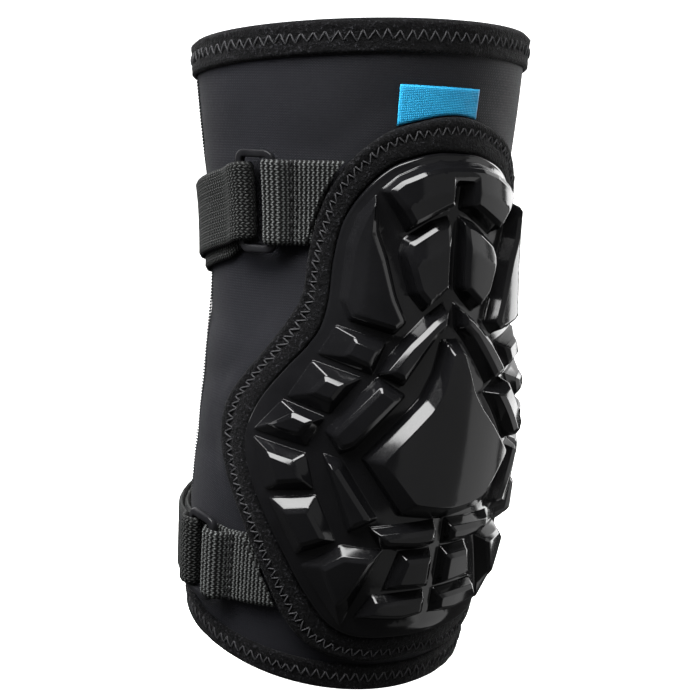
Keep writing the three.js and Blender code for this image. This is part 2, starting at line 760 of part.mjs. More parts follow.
// Tab: sewn down next to the border, with an eye round the ring's other bar
function tabSolid(belt) {
  const layer = webbing * 0.8;
  const barOuter = -belt.ringAt + ring.halfLength;
  const barInner = barOuter - ring.bar;
  const high = ring.low + ring.thick;
  const eye = [
    [barInner - 0.5, ring.low], [barInner - 0.5, high - 0.4], [barInner + 0.4, high + 0.4],
    [barOuter + 0.3, high + 0.4], [barOuter + 1.6, high - 0.6], [barOuter + 2.5, ring.low - 0.4],
    [barOuter + 0.8, gap + layer + 0.1], [barInner + 0.5, gap + layer + 0.1],
  ];
  const flat = gap + 2 * layer;
  const outlineAt = (off) => {
    const roughEnd = borderEdgeAt(belt.up + off, -1) - sewGap;
    const end = borderEdgeAt(beltUpAt(belt, roughEnd, gap) + off, -1) - sewGap;
    return [
      ...inParts(end, barOuter + 6.5, flat, 4), [barOuter + 4.4, flat + 0.8],
      [barOuter + 2.4, high + 0.8], [barOuter + 0.2, high + 0.4 + layer],
      [barInner, high + 0.4 + layer], [barInner - 1.6, high + 0.4],
      [barInner - 0.5 - layer, ring.low + 0.2], [barInner - 1.2, gap + 0.7], [barInner + 0.8, gap],
      ...inParts(barOuter + 6.5, end, gap, 4),
    ];
  };
  const offs = [-0.5, -0.25, 0, 0.25, 0.5].map((share) => share * belt.tab);
  const layers = offs.map((off) => ({ outline: outlineAt(off), holes: [eye] }));
  const place = ([across, lift], i) => (
    onChart(across, beltUpAt(belt, across, lift) + offs[i], lift)
  );
  return stackOf(layers, place, { strip: 4 });
}

for (const [name, belt] of [["upper", upperBelt], ["lower", lowerBelt]]) {
  addPiece(`${name}_tab`, tabSolid(belt).geometry(), colours.webbing);
  addPiece(`${name}_ring`, ringSolid(belt).geometry(), colours.ring);
  addPiece(`${name}_strap`, strapSolid(belt).geometry(), colours.webbing);
}

// Label: a bare woven patch whose lower edge follows the border
const labelLayers = Array.from({ length: label.columns + 1 }, (_, i) => {
  const across = label.at + (i / label.columns - 0.5) * label.width;
  const low = Math.max(borderTopAt(across) + gap, label.top - label.height);
  return { across, outline: [
    [gap, low], [gap + label.thick, low], [gap + label.thick, label.top], [gap, label.top],
  ] };
});
addPiece("label", stackOf(labelLayers, ([lift, up], i) => (
  onChart(labelLayers[i].across, up, lift)
)).geometry(), colours.label);

export default group;
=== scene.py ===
"""Baseball elbow guard, shown worn. Lengths below are in mm unless a name says otherwise."""

import math
import random

import bmesh
import bpy
from mathutils import Matrix, Vector, noise
from mathutils.geometry import delaunay_2d_cdt


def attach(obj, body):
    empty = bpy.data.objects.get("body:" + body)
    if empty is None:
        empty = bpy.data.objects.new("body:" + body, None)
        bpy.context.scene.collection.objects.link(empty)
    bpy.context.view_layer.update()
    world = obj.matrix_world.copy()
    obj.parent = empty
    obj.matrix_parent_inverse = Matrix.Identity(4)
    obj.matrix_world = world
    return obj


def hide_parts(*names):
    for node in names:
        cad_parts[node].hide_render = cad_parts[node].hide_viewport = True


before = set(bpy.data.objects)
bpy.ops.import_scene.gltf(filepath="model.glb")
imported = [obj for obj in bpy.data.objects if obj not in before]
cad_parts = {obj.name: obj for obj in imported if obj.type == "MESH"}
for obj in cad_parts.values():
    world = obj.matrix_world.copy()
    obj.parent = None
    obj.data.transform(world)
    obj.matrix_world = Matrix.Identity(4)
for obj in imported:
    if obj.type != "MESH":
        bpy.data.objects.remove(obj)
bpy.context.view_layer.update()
MM = 0.001

# Camera: angles in degrees, lengths in mm, and the shift as a share of the picture
VIEW = {"azimuth": -40.2, "elevation": 5.35, "roll": 2.67, "distance": 655, "lens": 104.4}
SHIFT = {"across": 0.0076, "up": 0.005}


def add_camera():
    azimuth, elevation, roll = (math.radians(VIEW[key]) for key in ("azimuth", "elevation", "roll"))
    level = math.cos(elevation)
    back = Vector((math.sin(azimuth) * level, -math.cos(azimuth) * level, math.sin(elevation)))
    right = Vector((math.cos(azimuth), math.sin(azimuth), 0))
    up = back.cross(right)
    rolled_right = right * math.cos(roll) + up * math.sin(roll)
    rolled_up = up * math.cos(roll) - right * math.sin(roll)
    data = bpy.data.cameras.new("camera")
    data.lens = VIEW["lens"]
    data.sensor_width = 36
    data.shift_x = SHIFT["across"]
    data.shift_y = SHIFT["up"]
    data.dof.use_dof = False
    data.clip_start = 0.01
    camera = bpy.data.objects.new("camera", data)
    turn = Matrix((rolled_right, rolled_up, back)).transposed().to_4x4()
    camera.matrix_world = Matrix.Translation(back * VIEW["distance"] * MM) @ turn
    bpy.context.scene.collection.objects.link(camera)
    bpy.context.scene.camera = camera


add_camera()
bpy.context.scene.view_settings.view_transform = "Standard"
bpy.context.scene.view_settings.look = "None"

# Sleeve: its bore follows a spine that is straight above the elbow and leans back below it
SLEEVE = {"radius": 46, "wall": 3, "reach": 100, "top": 0.995, "bottom": -0.905, "slope": 0.055}
ELBOW = {"lean_back": 11.2, "lean_side": 6, "starts": 10, "ends": -60}
# beside the elbow the sleeve stands further out than round
BULGE = {"most": 3.8, "turn": 50, "turn_reach": 42, "up": 25, "up_reach": 50}
# height is a share of the reach, radius a share of the radius
PROFILE = [
    (-1.1, 0.93), (-0.95, 0.955), (-0.8, 0.985), (-0.64, 1.005), (-0.42, 1.02), (-0.2, 1.005),
    (0, 0.98), (0.22, 0.955), (0.45, 0.98), (0.65, 1.05), (0.85, 1.11), (1, 1.14), (1.1, 1.16),
]
HEM = {"top_width": 10.5, "bottom_width": 9.5, "thick": 1.2, "gap": 0.2, "inset": 1.4}
STITCH_DOWN = 5.2  # from a rim to the middle of its zigzag row
THREAD = 0.22
HEM_ZIGZAG = {"pitch": 3.4, "reach": 1.7, "lift": 1.15, "seed": 7}
BORDER_ZIGZAG = {"pitch": 3.1, "reach": 1.6, "lift": 2.75, "seed": 9}
UNIT = SLEEVE["reach"] / 2
CHART_RADIUS = 50
ROUND = 2 * math.pi * CHART_RADIUS
AXIS = -3.25  # where the shield's own centre line lies on the chart
GAP = 0.4
CROWN = {"height": 2.5, "turn": 38, "reach": 38, "at": -12}
FLOOR_LIFT = 5.2  # how far the shell stands off the sleeve between its blocks
RIM_LIFT = 4.4  # and at its outline
# out from the centre line and up from the elbow, as shares of UNIT
SHELL_OUTLINE = [
    (0, 1.31), (0.135, 1.305), (0.275, 1.27), (0.395, 1.22), (0.495, 1.14), (0.575, 1.05), (0.645, 0.95),
    (0.695, 0.84), (0.735, 0.64), (0.755, 0.4), (0.795, 0.24), (0.875, 0.12), (0.995, 0), (1.165, -0.19),
    (1.245, -0.35), (1.245, -0.46), (1.175, -0.62), (1.025, -0.84), (0.895, -1.02), (0.775, -1.2),
    (0.635, -1.38), (0.515, -1.46), (0.395, -1.49), (0.155, -1.5), (0, -1.5),
]
BORDER_OUTLINE = [
    (0, 1.53), (0.11, 1.52), (0.235, 1.49), (0.395, 1.44), (0.515, 1.37), (0.655, 1.24), (0.735, 1.14),
    (0.815, 1), (0.875, 0.82), (0.915, 0.64), (0.935, 0.46), (0.985, 0.34), (1.155, 0.12), (1.355, -0.08),
    (1.475, -0.22), (1.515, -0.35), (1.495, -0.48), (1.415, -0.64), (1.215, -0.92), (1.015, -1.24),
    (0.935, -1.38), (0.815, -1.52), (0.675, -1.61), (0.515, -1.66), (0.315, -1.69), (0.1, -1.68),
    (0, -1.67),
]

# Raised blocks of one side, corners as (out, up). A fold lets the top drop past a line or circle
BLOCK_DRAFT = 1.5
MIDDLE_GROOVE = 3.4  # least width between the feet of the two sides
BLOCKS = [
    {"name": "arch", "height": 6, "joined": True, "ring_fold": (0, 0.5, 0.59, 0.3), "top": [
        (0, 1.23), (0.125, 1.225), (0.255, 1.19), (0.365, 1.135), (0.435, 1.07), (0.345, 0.95),
        (0.295, 0.87), (0.185, 0.935), (0.1, 0.985), (0.06, 1), (0.06, 1.15), (0, 1.15)]},
    {"name": "second row", "height": 5.5, "fold": (0.14, 0.71, 0.5, 0.86, 0.34), "top": [
        (0.05, 0.9), (0.145, 0.87), (0.295, 0.77), (0.315, 0.7), (0.245, 0.48), (0.175, 0.4),
        (0.105, 0.46), (0.05, 0.51)]},
    {"name": "wing", "height": 5, "fold": (0.54, 0.5, 1, 0.05, 0.4), "top": [
        (0.505, 1.01), (0.575, 0.9), (0.625, 0.74), (0.655, 0.42), (0.605, 0.32), (0.365, 0.25),
        (0.315, 0.3), (0.375, 0.44), (0.435, 0.66), (0.495, 0.82)]},
    {"name": "side 1", "height": 4, "top": [(0.585, 0.2), (0.645, 0.09), (0.495, 0.03), (0.435, 0.14)],
     "foot": [(0.695, 0.26), (0.795, 0.09), (0.475, -0.01), (0.395, 0.17)]},
    {"name": "side 2", "height": 4,
     "top": [(0.735, -0.02), (0.835, -0.12), (0.695, -0.16), (0.615, -0.06)],
     "foot": [(0.825, 0.05), (0.965, -0.15), (0.705, -0.22), (0.535, -0.03)]},
    {"name": "side 3", "height": 4,
     "top": [(0.905, -0.22), (1.055, -0.3), (0.855, -0.34), (0.785, -0.255)],
     "foot": [(0.995, -0.17), (1.165, -0.34), (0.825, -0.39), (0.735, -0.24)]},
    {"name": "side 4", "height": 4,
     "top": [(1.055, -0.43), (0.975, -0.59), (0.815, -0.56), (0.875, -0.46)],
     "foot": [(1.165, -0.38), (1.055, -0.64), (0.765, -0.6), (0.825, -0.43)]},
    {"name": "side 5", "height": 4,
     "top": [(0.935, -0.71), (0.805, -0.9), (0.665, -0.84), (0.775, -0.68)],
     "foot": [(1.025, -0.68), (0.835, -0.96), (0.615, -0.86), (0.745, -0.63)]},
    {"name": "side 6", "height": 4,
     "top": [(0.565, -0.92), (0.685, -1), (0.575, -1.24), (0.525, -1.2), (0.385, -0.93)],
     "foot": [(0.585, -0.88), (0.795, -1.02), (0.535, -1.4), (0.495, -1.27), (0.335, -0.9)]},
    {"name": "upper arm", "height": 5, "top": [
        (0.05, 0.37), (0.135, 0.31), (0.275, 0.17), (0.405, 0.01), (0.305, -0.03), (0.205, 0.1),
        (0.125, 0.21), (0.05, 0.28)]},
    {"name": "middle arm", "height": 5.5, "top": [
        (0.435, -0.06), (0.685, -0.31), (0.625, -0.38), (0.565, -0.36), (0.325, -0.12)]},
    {"name": "lower arm", "height": 4.5, "top": [
        (0.695, -0.45), (0.535, -0.77), (0.435, -0.72), (0.635, -0.47)]},
    {"name": "centre", "height": 6, "joined": True, "shoulder": 3.4,
     "top": [(0, 0.12), (0.03, 0.12), (0.1, -0.1), (0.155, -0.18), (0.405, -0.43), (0.215, -0.63),
             (0.1, -0.65), (0, -0.66)],
     "foot": [(0, 0.17), (0.04, 0.17), (0.095, 0), (0.175, -0.14), (0.485, -0.43), (0.265, -0.69),
              (0.105, -0.71), (0, -0.72)]},
    {"name": "lower bar", "height": 4, "top": [
        (0.05, -0.78), (0.255, -0.79), (0.385, -0.8), (0.335, -0.86), (0.155, -0.87), (0.05, -0.86)]},
    {"name": "lower key", "height": 4, "top": [
        (0.05, -0.94), (0.215, -0.94), (0.265, -1.11), (0.05, -1.12)]},
    {"name": "bottom bar", "height": 3.5, "top": [
        (0.05, -1.2), (0.185, -1.2), (0.355, -1.21), (0.415, -1.31), (0.185, -1.33), (0.05, -1.31)]},
]
WEBBING = 1.6
RIB_PITCH = 1.45
UPPER_BELT = {"up": 48.5, "strap": 23.4, "tab": 25.4, "ring_at": 65.4, "free_end": 176,
              "ring_half": 15.5, "rise": 0.03, "fall": 10, "fall_reach": 75, "under_fall": 4}
LOWER_BELT = {"up": -59.5, "strap": 22.6, "tab": 22.6, "ring_at": 81, "free_end": 190,
              "ring_half": 14.1, "rise": 0.14, "fall": 4, "fall_reach": 30, "under_fall": 0}
RING = {"half_length": 6.9, "bar": 2.4, "thick": 2.4, "low": 3, "corner": 2.2, "round": 0.55}
LABEL = {"at": -9.2, "width": 27, "top": 85, "height": 12, "thick": 0.6}


def smooth_step(share):
    share = min(1, max(0, share))
    return share * share * (3 - 2 * share)


def curve_through(xs, ys):
    """A smooth curve through the rows of a table sorted by its first column."""
    last = len(xs) - 1
    slopes = []
    for i in range(len(xs)):
        before, after = max(0, i - 1), min(last, i + 1)
        slopes.append((ys[after] - ys[before]) / (xs[after] - xs[before]))

    def value(x):
        i = 0
        while i < last - 1 and x > xs[i + 1]:
            i += 1
        span = xs[i + 1] - xs[i]
        t = (x - xs[i]) / span
        a, b = (1 + 2 * t) * (1 - t) ** 2, t * (1 - t) ** 2
        c, d = t * t * (3 - 2 * t), t * t * (t - 1)
        return a * ys[i] + b * span * slopes[i] + c * ys[i + 1] + d * span * slopes[i + 1]

    return value


radius_at = curve_through(
    [height * SLEEVE["reach"] for height, _ in PROFILE],
    [radius * SLEEVE["radius"] for _, radius in PROFILE],
)


def tangent_at(up):
    """The spine's direction at a height."""
    share = smooth_step((ELBOW["starts"] - up) / (ELBOW["starts"] - ELBOW["ends"]))
    side = math.tan(math.radians(ELBOW["lean_side"]) * share)
    back = math.tan(math.radians(ELBOW["lean_back"]) * share)
    return Vector((-side, -back, 1)).normalized()


def make_sections(step=1, count=130):
    """Centre, side and back directions and radius of the sleeve at every step of height."""
    centres = {0: Vector()}
    for way in (1, -1):
        for i in range(count):
            middle = tangent_at((i + 0.5) * way * step)
            centres[(i + 1) * way] = centres[i * way] + middle * way * step
    sections = {}
    for i, centre in centres.items():
        along = tangent_at(i * step)
        side = (Vector((1, 0, 0)) - along * along.x).normalized()
        sections[i] = (centre, side, along.cross(side), radius_at(i * step))
    return sections


SECTIONS = make_sections()


def bulge_at(turn, up):
    reach = 1 - math.cos(math.radians(BULGE["turn_reach"]))
    around = (1 - math.cos(turn - math.radians(BULGE["turn"]))) / reach
    along = (up - BULGE["up"]) / BULGE["up_reach"]
    return BULGE["most"] * math.exp(-around - along * along)


def on_sleeve(turn, up, lift):
    """A point at a turn (radians, 0 at the front), a height and a lift off the outside."""
    index = math.floor(up)
    share = up - index
    low, high = SECTIONS[index], SECTIONS[index + 1]
    centre, side, back = (low[k].lerp(high[k], share) for k in range(3))
    reach = low[3] + share * (high[3] - low[3]) + bulge_at(turn, up) + lift
    return centre + side * (reach * math.sin(turn)) - back * (reach * math.cos(turn))


def on_chart(across, up, lift):
    return on_sleeve(across / CHART_RADIUS, up, lift)


def crown_at(across, up):
    """How much further the shield stands off near the elbow."""
    turn = math.degrees(across / CHART_RADIUS) / CROWN["turn"]
    along = (up - CROWN["at"]) / CROWN["reach"]
    return CROWN["height"] * math.exp(-turn * turn - along * along)


def on_shield(across, up, lift):
    """A place counted from the shield's own centre line, with the crown only off the sleeve."""
    rise = crown_at(across, up) if lift > 1 else 0
    return on_chart(across + AXIS, up, lift + rise)


def closed_outline(table, count):
    """One side of an outline at even steps, then its mirror image."""
    lengths = [0]
    for (x0, y0), (x1, y1) in zip(table, table[1:]):
        lengths.append(lengths[-1] + math.hypot(x1 - x0, y1 - y0))
    out_at = curve_through(lengths, [row[0] * UNIT for row in table])
    up_at = curve_through(lengths, [row[1] * UNIT for row in table])
    half = count // 2
    steps = [lengths[-1] * i / half for i in range(half + 1)]
    side = [(out_at(at), up_at(at)) for at in steps]
    return [(-x, y) for x, y in side] + [(x, y) for x, y in side[-2:0:-1]]


def area_of(loop):
    return sum(a[0] * b[1] - b[0] * a[1] for a, b in zip(loop, loop[1:] + loop[:1])) / 2


def inset(loop, distance):
    """The closed loop moved inward."""
    way = 1 if area_of(loop) > 0 else -1
    made = []
    for i, point in enumerate(loop):
        before, after = loop[i - 1], loop[(i + 1) % len(loop)]
        normals = []
        for a, b in ((before, point), (point, after)):
            length = math.hypot(b[0] - a[0], b[1] - a[1])
            normals.append((-way * (b[1] - a[1]) / length, way * (b[0] - a[0]) / length))
        (ax, ay), (bx, by) = normals
        scale = distance / max(0.5, 1 + ax * bx + ay * by)
        made.append((point[0] + scale * (ax + bx), point[1] + scale * (ay + by)))
    return made


def is_inside(loop, x, y):
    inside = False
    for (x0, y0), (x1, y1) in zip(loop, loop[1:] + loop[:1]):
        if (y0 > y) != (y1 > y) and x < x0 + (y - y0) / (y1 - y0) * (x1 - x0):
            inside = not inside
    return inside


def distance_to(loop, x, y):
    best = 1e9
    for (x0, y0), (x1, y1) in zip(loop, loop[1:] + loop[:1]):
        dx, dy = x1 - x0, y1 - y0
        t = ((x - x0) * dx + (y - y0) * dy) / (dx * dx + dy * dy)
        t = min(1, max(0, t))
        best = min(best, math.hypot(x - x0 - t * dx, y - y0 - t * dy))
    return best


def add_mesh(name, points, faces, material, uvs=None, nodes=()):
    """A mesh from points in mm. uvs holds one pair in mm for each point."""
    mesh = bpy.data.meshes.new(name)
    mesh.from_pydata([point * MM for point in points], [], faces)
    mesh.update()
    if uvs:
        layer = mesh.uv_layers.new(name="mm")
        for loop in mesh.loops:
            layer.data[loop.index].uv = uvs[loop.vertex_index]
    mesh.polygons.foreach_set("use_smooth", [True] * len(mesh.polygons))
    mesh.materials.append(material)
    made = bpy.data.objects.new(name, mesh)
    bpy.context.scene.collection.objects.link(made)
    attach(made, "root")
    if nodes:
        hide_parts(*nodes)
    return made


# Materials: every one is made of nodes, with patterns in mm of the piece's own surface
class Look:
    """A principled material with a few helpers to add nodes."""

    def __init__(self, name, colour, roughness, specular=0.5, sheen=0):
        self.material = bpy.data.materials.new(name)
        self.material.use_nodes = True
        self.nodes = self.material.node_tree.nodes
        self.links = self.material.node_tree.links
        self.shader = self.nodes["Principled BSDF"]
        self.shader.inputs["Base Color"].default_value = (*colour, 1)
        self.shader.inputs["Roughness"].default_value = roughness
        self.shader.inputs["Specular IOR Level"].default_value = specular
        self.shader.inputs["Sheen Weight"].default_value = sheen
        self.shader.inputs["Sheen Roughness"].default_value = 0.4

    def surface(self):
        return self.add("ShaderNodeUVMap", uv_map="mm").outputs["UV"]

    def space(self):
        return self.add("ShaderNodeTexCoord").outputs["Object"]

    def add(self, kind, inputs=None, **settings):
        node = self.nodes.new(kind)
        for key, value in settings.items():
            setattr(node, key, value)
        for key, value in (inputs or {}).items():
            if isinstance(value, bpy.types.NodeSocket):
                self.links.new(value, node.inputs[key])
            else:
                node.inputs[key].default_value = value
        return node

    def maths(self, operation, a, b=0.5):
        return self.add("ShaderNodeMath", {0: a, 1: b}, operation=operation).outputs[0]

    def plus(self, a, b, share):
        """The sum of a and a share of b."""
        return self.maths("ADD", a, self.maths("MULTIPLY", b, share))

    def axes(self):
        """The two sockets of a place on the surface, in mm."""
        parts = self.add("ShaderNodeSeparateXYZ", {"Vector": self.surface()})
        return parts.outputs["X"], parts.outputs["Y"]

    def ribs(self, place, pitch):
        """Even ribs, 0 to 1, across a place in mm."""
        turn = self.maths("MULTIPLY", place, 2 * math.pi / pitch)
        return self.between(self.maths("SINE", turn), 0.0, 1.0, -1.0)

    def noise(self, vector, scale, detail=4.0, roughness=0.6):
        inputs = {"Vector": vector, "Scale": scale, "Detail": detail, "Roughness": roughness}
        return self.add("ShaderNodeTexNoise", inputs).outputs["Fac"]

    def between(self, share, low, high, start=0.0):
        """A value between two, by a share that runs from start to 1."""
        inputs = {"Value": share, "From Min": start, "To Min": low, "To Max": high}
        return self.add("ShaderNodeMapRange", inputs).outputs["Result"]

    def tones(self, share, *stops):
        """Colours by share, each stop a position and a colour."""
        node = self.add("ShaderNodeValToRGB", {"Fac": share})
        ramp = node.color_ramp
        while len(ramp.elements) < len(stops):
            ramp.elements.new(0.5)
        for element, (position, colour) in zip(ramp.elements, stops):
            element.position = position
            element.color = (*colour, 1)
        return node.outputs["Color"]

    def finish(self, colour=None, roughness=None, height=None, depth=0.1):
        """Joins the patterns to the shader. depth is the bump's full height in mm."""
        if colour:
            self.links.new(colour, self.shader.inputs["Base Color"])
        if roughness:
            self.links.new(roughness, self.shader.inputs["Roughness"])
        if height:
            inputs = {"Height": height, "Distance": depth * MM, "Strength": 1.0}
            bump = self.add("ShaderNodeBump", inputs)
            self.links.new(bump.outputs["Normal"], self.shader.inputs["Normal"])
        return self.material


def shell_material():
    look = Look("moulded_gloss", (0.0035, 0.0035, 0.004), 0.12)
    ripple = look.noise(look.space(), 260, 2)
    smear = look.noise(look.space(), 38, 5)
    return look.finish(
        look.tones(smear, (0.3, (0.003, 0.003, 0.0034)), (0.75, (0.006, 0.006, 0.0066))),
        look.between(smear, 0.07, 0.17), ripple, 0.012)


def ring_material():
    look = Look("moulded_ring", (0.006, 0.006, 0.007), 0.34, 0.3)
    grain = look.noise(look.space(), 1400, 3)
    smear = look.noise(look.space(), 120, 4)
    return look.finish(
        look.tones(smear, (0.3, (0.005, 0.005, 0.006)), (0.75, (0.011, 0.011, 0.012))),
        look.between(smear, 0.26, 0.42), grain, 0.03)


def knit_material():
    look = Look("sleeve_knit", (0.007, 0.0072, 0.009), 0.75, 0.25, 0.03)
    along, up = look.axes()
    bend = look.maths("MULTIPLY", look.ribs(along, 0.9), 0.35)
    course = look.ribs(look.maths("ADD", up, bend), 0.8)
    wale = look.ribs(along, 0.9)
    stitch = look.maths("MULTIPLY", course, look.between(wale, 0.4, 1.0))
    fuzz = look.noise(look.space(), 900, 4)
    patch = look.noise(look.space(), 45, 5)
    height = look.plus(stitch, fuzz, 0.8)
    shade = look.plus(look.maths("MULTIPLY", stitch, 0.35), patch, 0.7)
    return look.finish(
        look.tones(shade, (0.1, (0.0042, 0.0043, 0.0058)), (0.5, (0.0068, 0.007, 0.009)),
                   (0.95, (0.0105, 0.0108, 0.0135))),
        look.between(fuzz, 0.62, 0.88), height, 0.07)


def binding_material():
    look = Look("binding_cloth", (0.004, 0.004, 0.0045), 0.88, 0.2, 0.02)
    loops = look.noise(look.space(), 1150, 3, 0.7)
    clumps = look.noise(look.space(), 420, 4, 0.7)
    height = look.plus(loops, clumps, 0.9)
    # the tone follows the loops that raise the bump: painted highlight on the highest loops, painted
    # shade between them
    return look.finish(
        look.tones(loops, (0.42, (0.0007, 0.0007, 0.0009)), (0.58, (0.0021, 0.0021, 0.0025)),
                   (0.7, (0.024, 0.024, 0.027))),
        look.between(clumps, 0.8, 0.98), height, 0.75)


# pitches in mm: of the wobble, the rows and the threads in a row, each pair with a share; the tones are
# painted shade in the gaps between rows and a painted highlight on the raised rows
WEAVES = {
    "tab_webbing": {
        "rough": (0.72, 0.6), "wobble": (1.5, 0.34), "rows": RIB_PITCH, "threads": (0.75, 0.7),
        "fuzz": 0.3, "shade": (0.85, 0.3), "depth": 0.5,
        "tones": [(0.34, (0.0008, 0.0008, 0.0008)), (0.6, (0.021, 0.022, 0.022)),
                  (0.95, (0.085, 0.09, 0.088))]},
    "strap_webbing": {
        "rough": (0.75, 0.62), "wobble": (1.7, 0.6), "rows": 1.3, "threads": (0.85, 0.5),
        "fuzz": 0.4, "shade": (0.8, 0.35), "depth": 0.45,
        "tones": [(0.34, (0.001, 0.001, 0.001)), (0.6, (0.009, 0.0096, 0.0092)),
                  (0.95, (0.042, 0.045, 0.043))]},
}


def webbing_material(name):
    """Tape with rows across it, each a row of twisted threads or small loops, with painted shade between
    the rows and a painted highlight on them.
    """
    kind = WEAVES[name]
    look = Look(name, (0.012, 0.013, 0.012), kind["rough"][0], 0.3, 0.02)
    along, across = look.axes()
    wobble = look.maths("MULTIPLY", look.ribs(across, kind["wobble"][0]), kind["wobble"][1])
    rows = look.ribs(look.maths("ADD", along, wobble), kind["rows"])
    threads = look.ribs(across, kind["threads"][0])
    fibres = look.noise(look.space(), 1300, 4, 0.7)
    weave = look.maths("MULTIPLY", rows, look.between(threads, kind["threads"][1], 1.0))
    height = look.plus(weave, fibres, kind["fuzz"])
    # the colour follows the weave's relief: painted shade in the gaps, painted highlight on the rows,
    # with random fibre tone on top
    shade = look.plus(look.maths("MULTIPLY", weave, kind["shade"][0]), fibres, kind["shade"][1])
    return look.finish(look.tones(shade, *kind["tones"]),
                       look.between(fibres, kind["rough"][1], 0.9), height, kind["depth"])


def thread_material(name, dark, light):
    look = Look(name, light, 0.7, 0.3, 0.02)
    fibre = look.noise(look.space(), 2500, 3, 0.7)
    return look.finish(look.tones(fibre, (0.3, dark), (0.7, light)),
                       look.between(fibre, 0.55, 0.85), fibre, 0.1)


def label_material():
    look = Look("label_weave", (0.02, 0.27, 0.5), 0.6, 0.3, 0.03)
    along, up = look.axes()
    weave = look.maths("MULTIPLY", look.ribs(along, 0.6), look.ribs(up, 0.5))
    patch = look.noise(look.space(), 300, 4)
    shade = look.plus(look.maths("MULTIPLY", weave, 0.6), patch, 0.5)
    return look.finish(
        look.tones(shade, (0.1, (0.007, 0.21, 0.42)), (0.5, (0.013, 0.31, 0.57)),
                   (0.95, (0.035, 0.42, 0.68))),
        look.between(patch, 0.5, 0.7), weave, 0.15)


KNIT = knit_material()
BINDING = binding_material()
STRAP_WEB = webbing_material("strap_webbing")
TAB_WEB = webbing_material("tab_webbing")
SHELL = shell_material()
RING_PLASTIC = ring_material()
LABEL_WEAVE = label_material()
PALE_THREAD = thread_material("pale_thread", (0.012, 0.012, 0.013), (0.05, 0.05, 0.053))
DARK_THREAD = thread_material("dark_thread", (0.003, 0.003, 0.0035), (0.013, 0.013, 0.014))


# Fabric tubes
def rim_top(turn):
    return SLEEVE["reach"] * (SLEEVE["top"] + SLEEVE["slope"] * math.cos(turn))


def rim_bottom(turn):
    return SLEEVE["reach"] * (SLEEVE["bottom"] - SLEEVE["slope"] * math.cos(turn))


def loop_faces(count, size, is_ring=True):
    """Quads between sections of the same size, each a closed loop of points."""
    faces = []
    for i in range(count if is_ring else count - 1):
        here, there = i * size, (i + 1) % count * size
        for k in range(size):
            other = (k + 1) % size
            faces.append((here + k, here + other, there + other, there + k))
    return faces


def end_faces(count, size, start=0):
    """The two faces that close a tube made of count sections."""
    last = start + (count - 1) * size
    return [tuple(range(start + size - 1, start - 1, -1)), tuple(range(last, last + size))]


def ripple(turn, up, seed, size):
    """Soft seeded unevenness, the same all round the closed tube."""
    place = Vector((math.cos(turn), math.sin(turn), up / SLEEVE["radius"])) * size
    return noise.noise(place + Vector((seed, 0, 0)))


# mm over which the sleeve's unevenness fades in
FADE = {"border": 9, "belt": 6, "hem": 14}
SWELL = {"depth": 0.35, "seed": 3, "size": 2.2}


def shield_cover(turn, up):
    """1 where the padded border lies on the sleeve, down to 0 some way off it."""
    across = turn * CHART_RADIUS - AXIS
    if is_inside(BORDER_COARSE, across, up):
        return 1
    return 1 - smooth_step(distance_to(BORDER_COARSE, across, up) / FADE["border"])


FOLDS = [
    # turn in degrees, height, slant, length round in degrees, width in mm, depth in mm
    (-100, -6, 0.1, 34, 7, 0.9),
    (-118, 12, -0.12, 30, 6, 0.6),
    (-95, -27, 0.15, 26, 6, 0.7),
    (112, -4, -0.1, 36, 7, 0.9),
    (98, -24, -0.14, 28, 6, 0.7),
    (150, -10, 0.05, 34, 6, 1.0),
    (180, -2, 0, 40, 6, 1.2),
    (180, -16, 0, 36, 6, 1.1),
    (-150, -30, 0.08, 34, 7, 0.9),
]


def fold_depth(turn, up):
    total = 0
    for at, height, slant, length, width, depth in FOLDS:
        off = (math.degrees(turn) - at + 180) % 360 - 180
        along = off / length
        across = (up - height - slant * off) / width
        total += depth * math.exp(-along * along * 2) * math.exp(-across * across * 2)
    return total


def belt_cover(turn, up):
    """1 under the straps, whose pull keeps the sleeve flat there."""
    cover = 0
    for belt in (UPPER_BELT, LOWER_BELT):
        off = abs(up - belt["up"]) - belt["strap"] / 2
        cover = max(cover, 1 - smooth_step(off / FADE["belt"]))
    return cover


def dress_sleeve():
    columns, rows = 200, 150
    points, uvs = [], []
    for i in range(columns):
        turn = i / columns * 2 * math.pi - math.pi
        low, high = rim_bottom(turn) + HEM["inset"], rim_top(turn) - HEM["inset"]
        for k in range(rows + 1):
            up = low + k / rows * (high - low)
            free = 1 - max(shield_cover(turn, up), belt_cover(turn, up))
            edge = smooth_step(min(up - low, high - up) / FADE["hem"])
            swell = SWELL["depth"] * ripple(turn, up, SWELL["seed"], SWELL["size"]) - SWELL["depth"]
            lift = (swell - fold_depth(turn, up)) * free * edge
            points.append(on_sleeve(turn, up, lift))
            uvs.append((turn * CHART_RADIUS, up))
        for k in range(rows, -1, -1):
            up = low + k / rows * (high - low)
            points.append(on_sleeve(turn, up, -SLEEVE["wall"]))
            uvs.append((turn * CHART_RADIUS, up))
    faces = loop_faces(columns, 2 * (rows + 1))
    add_mesh("sleeve_cloth", points, faces, KNIT, uvs, ["sleeve"])


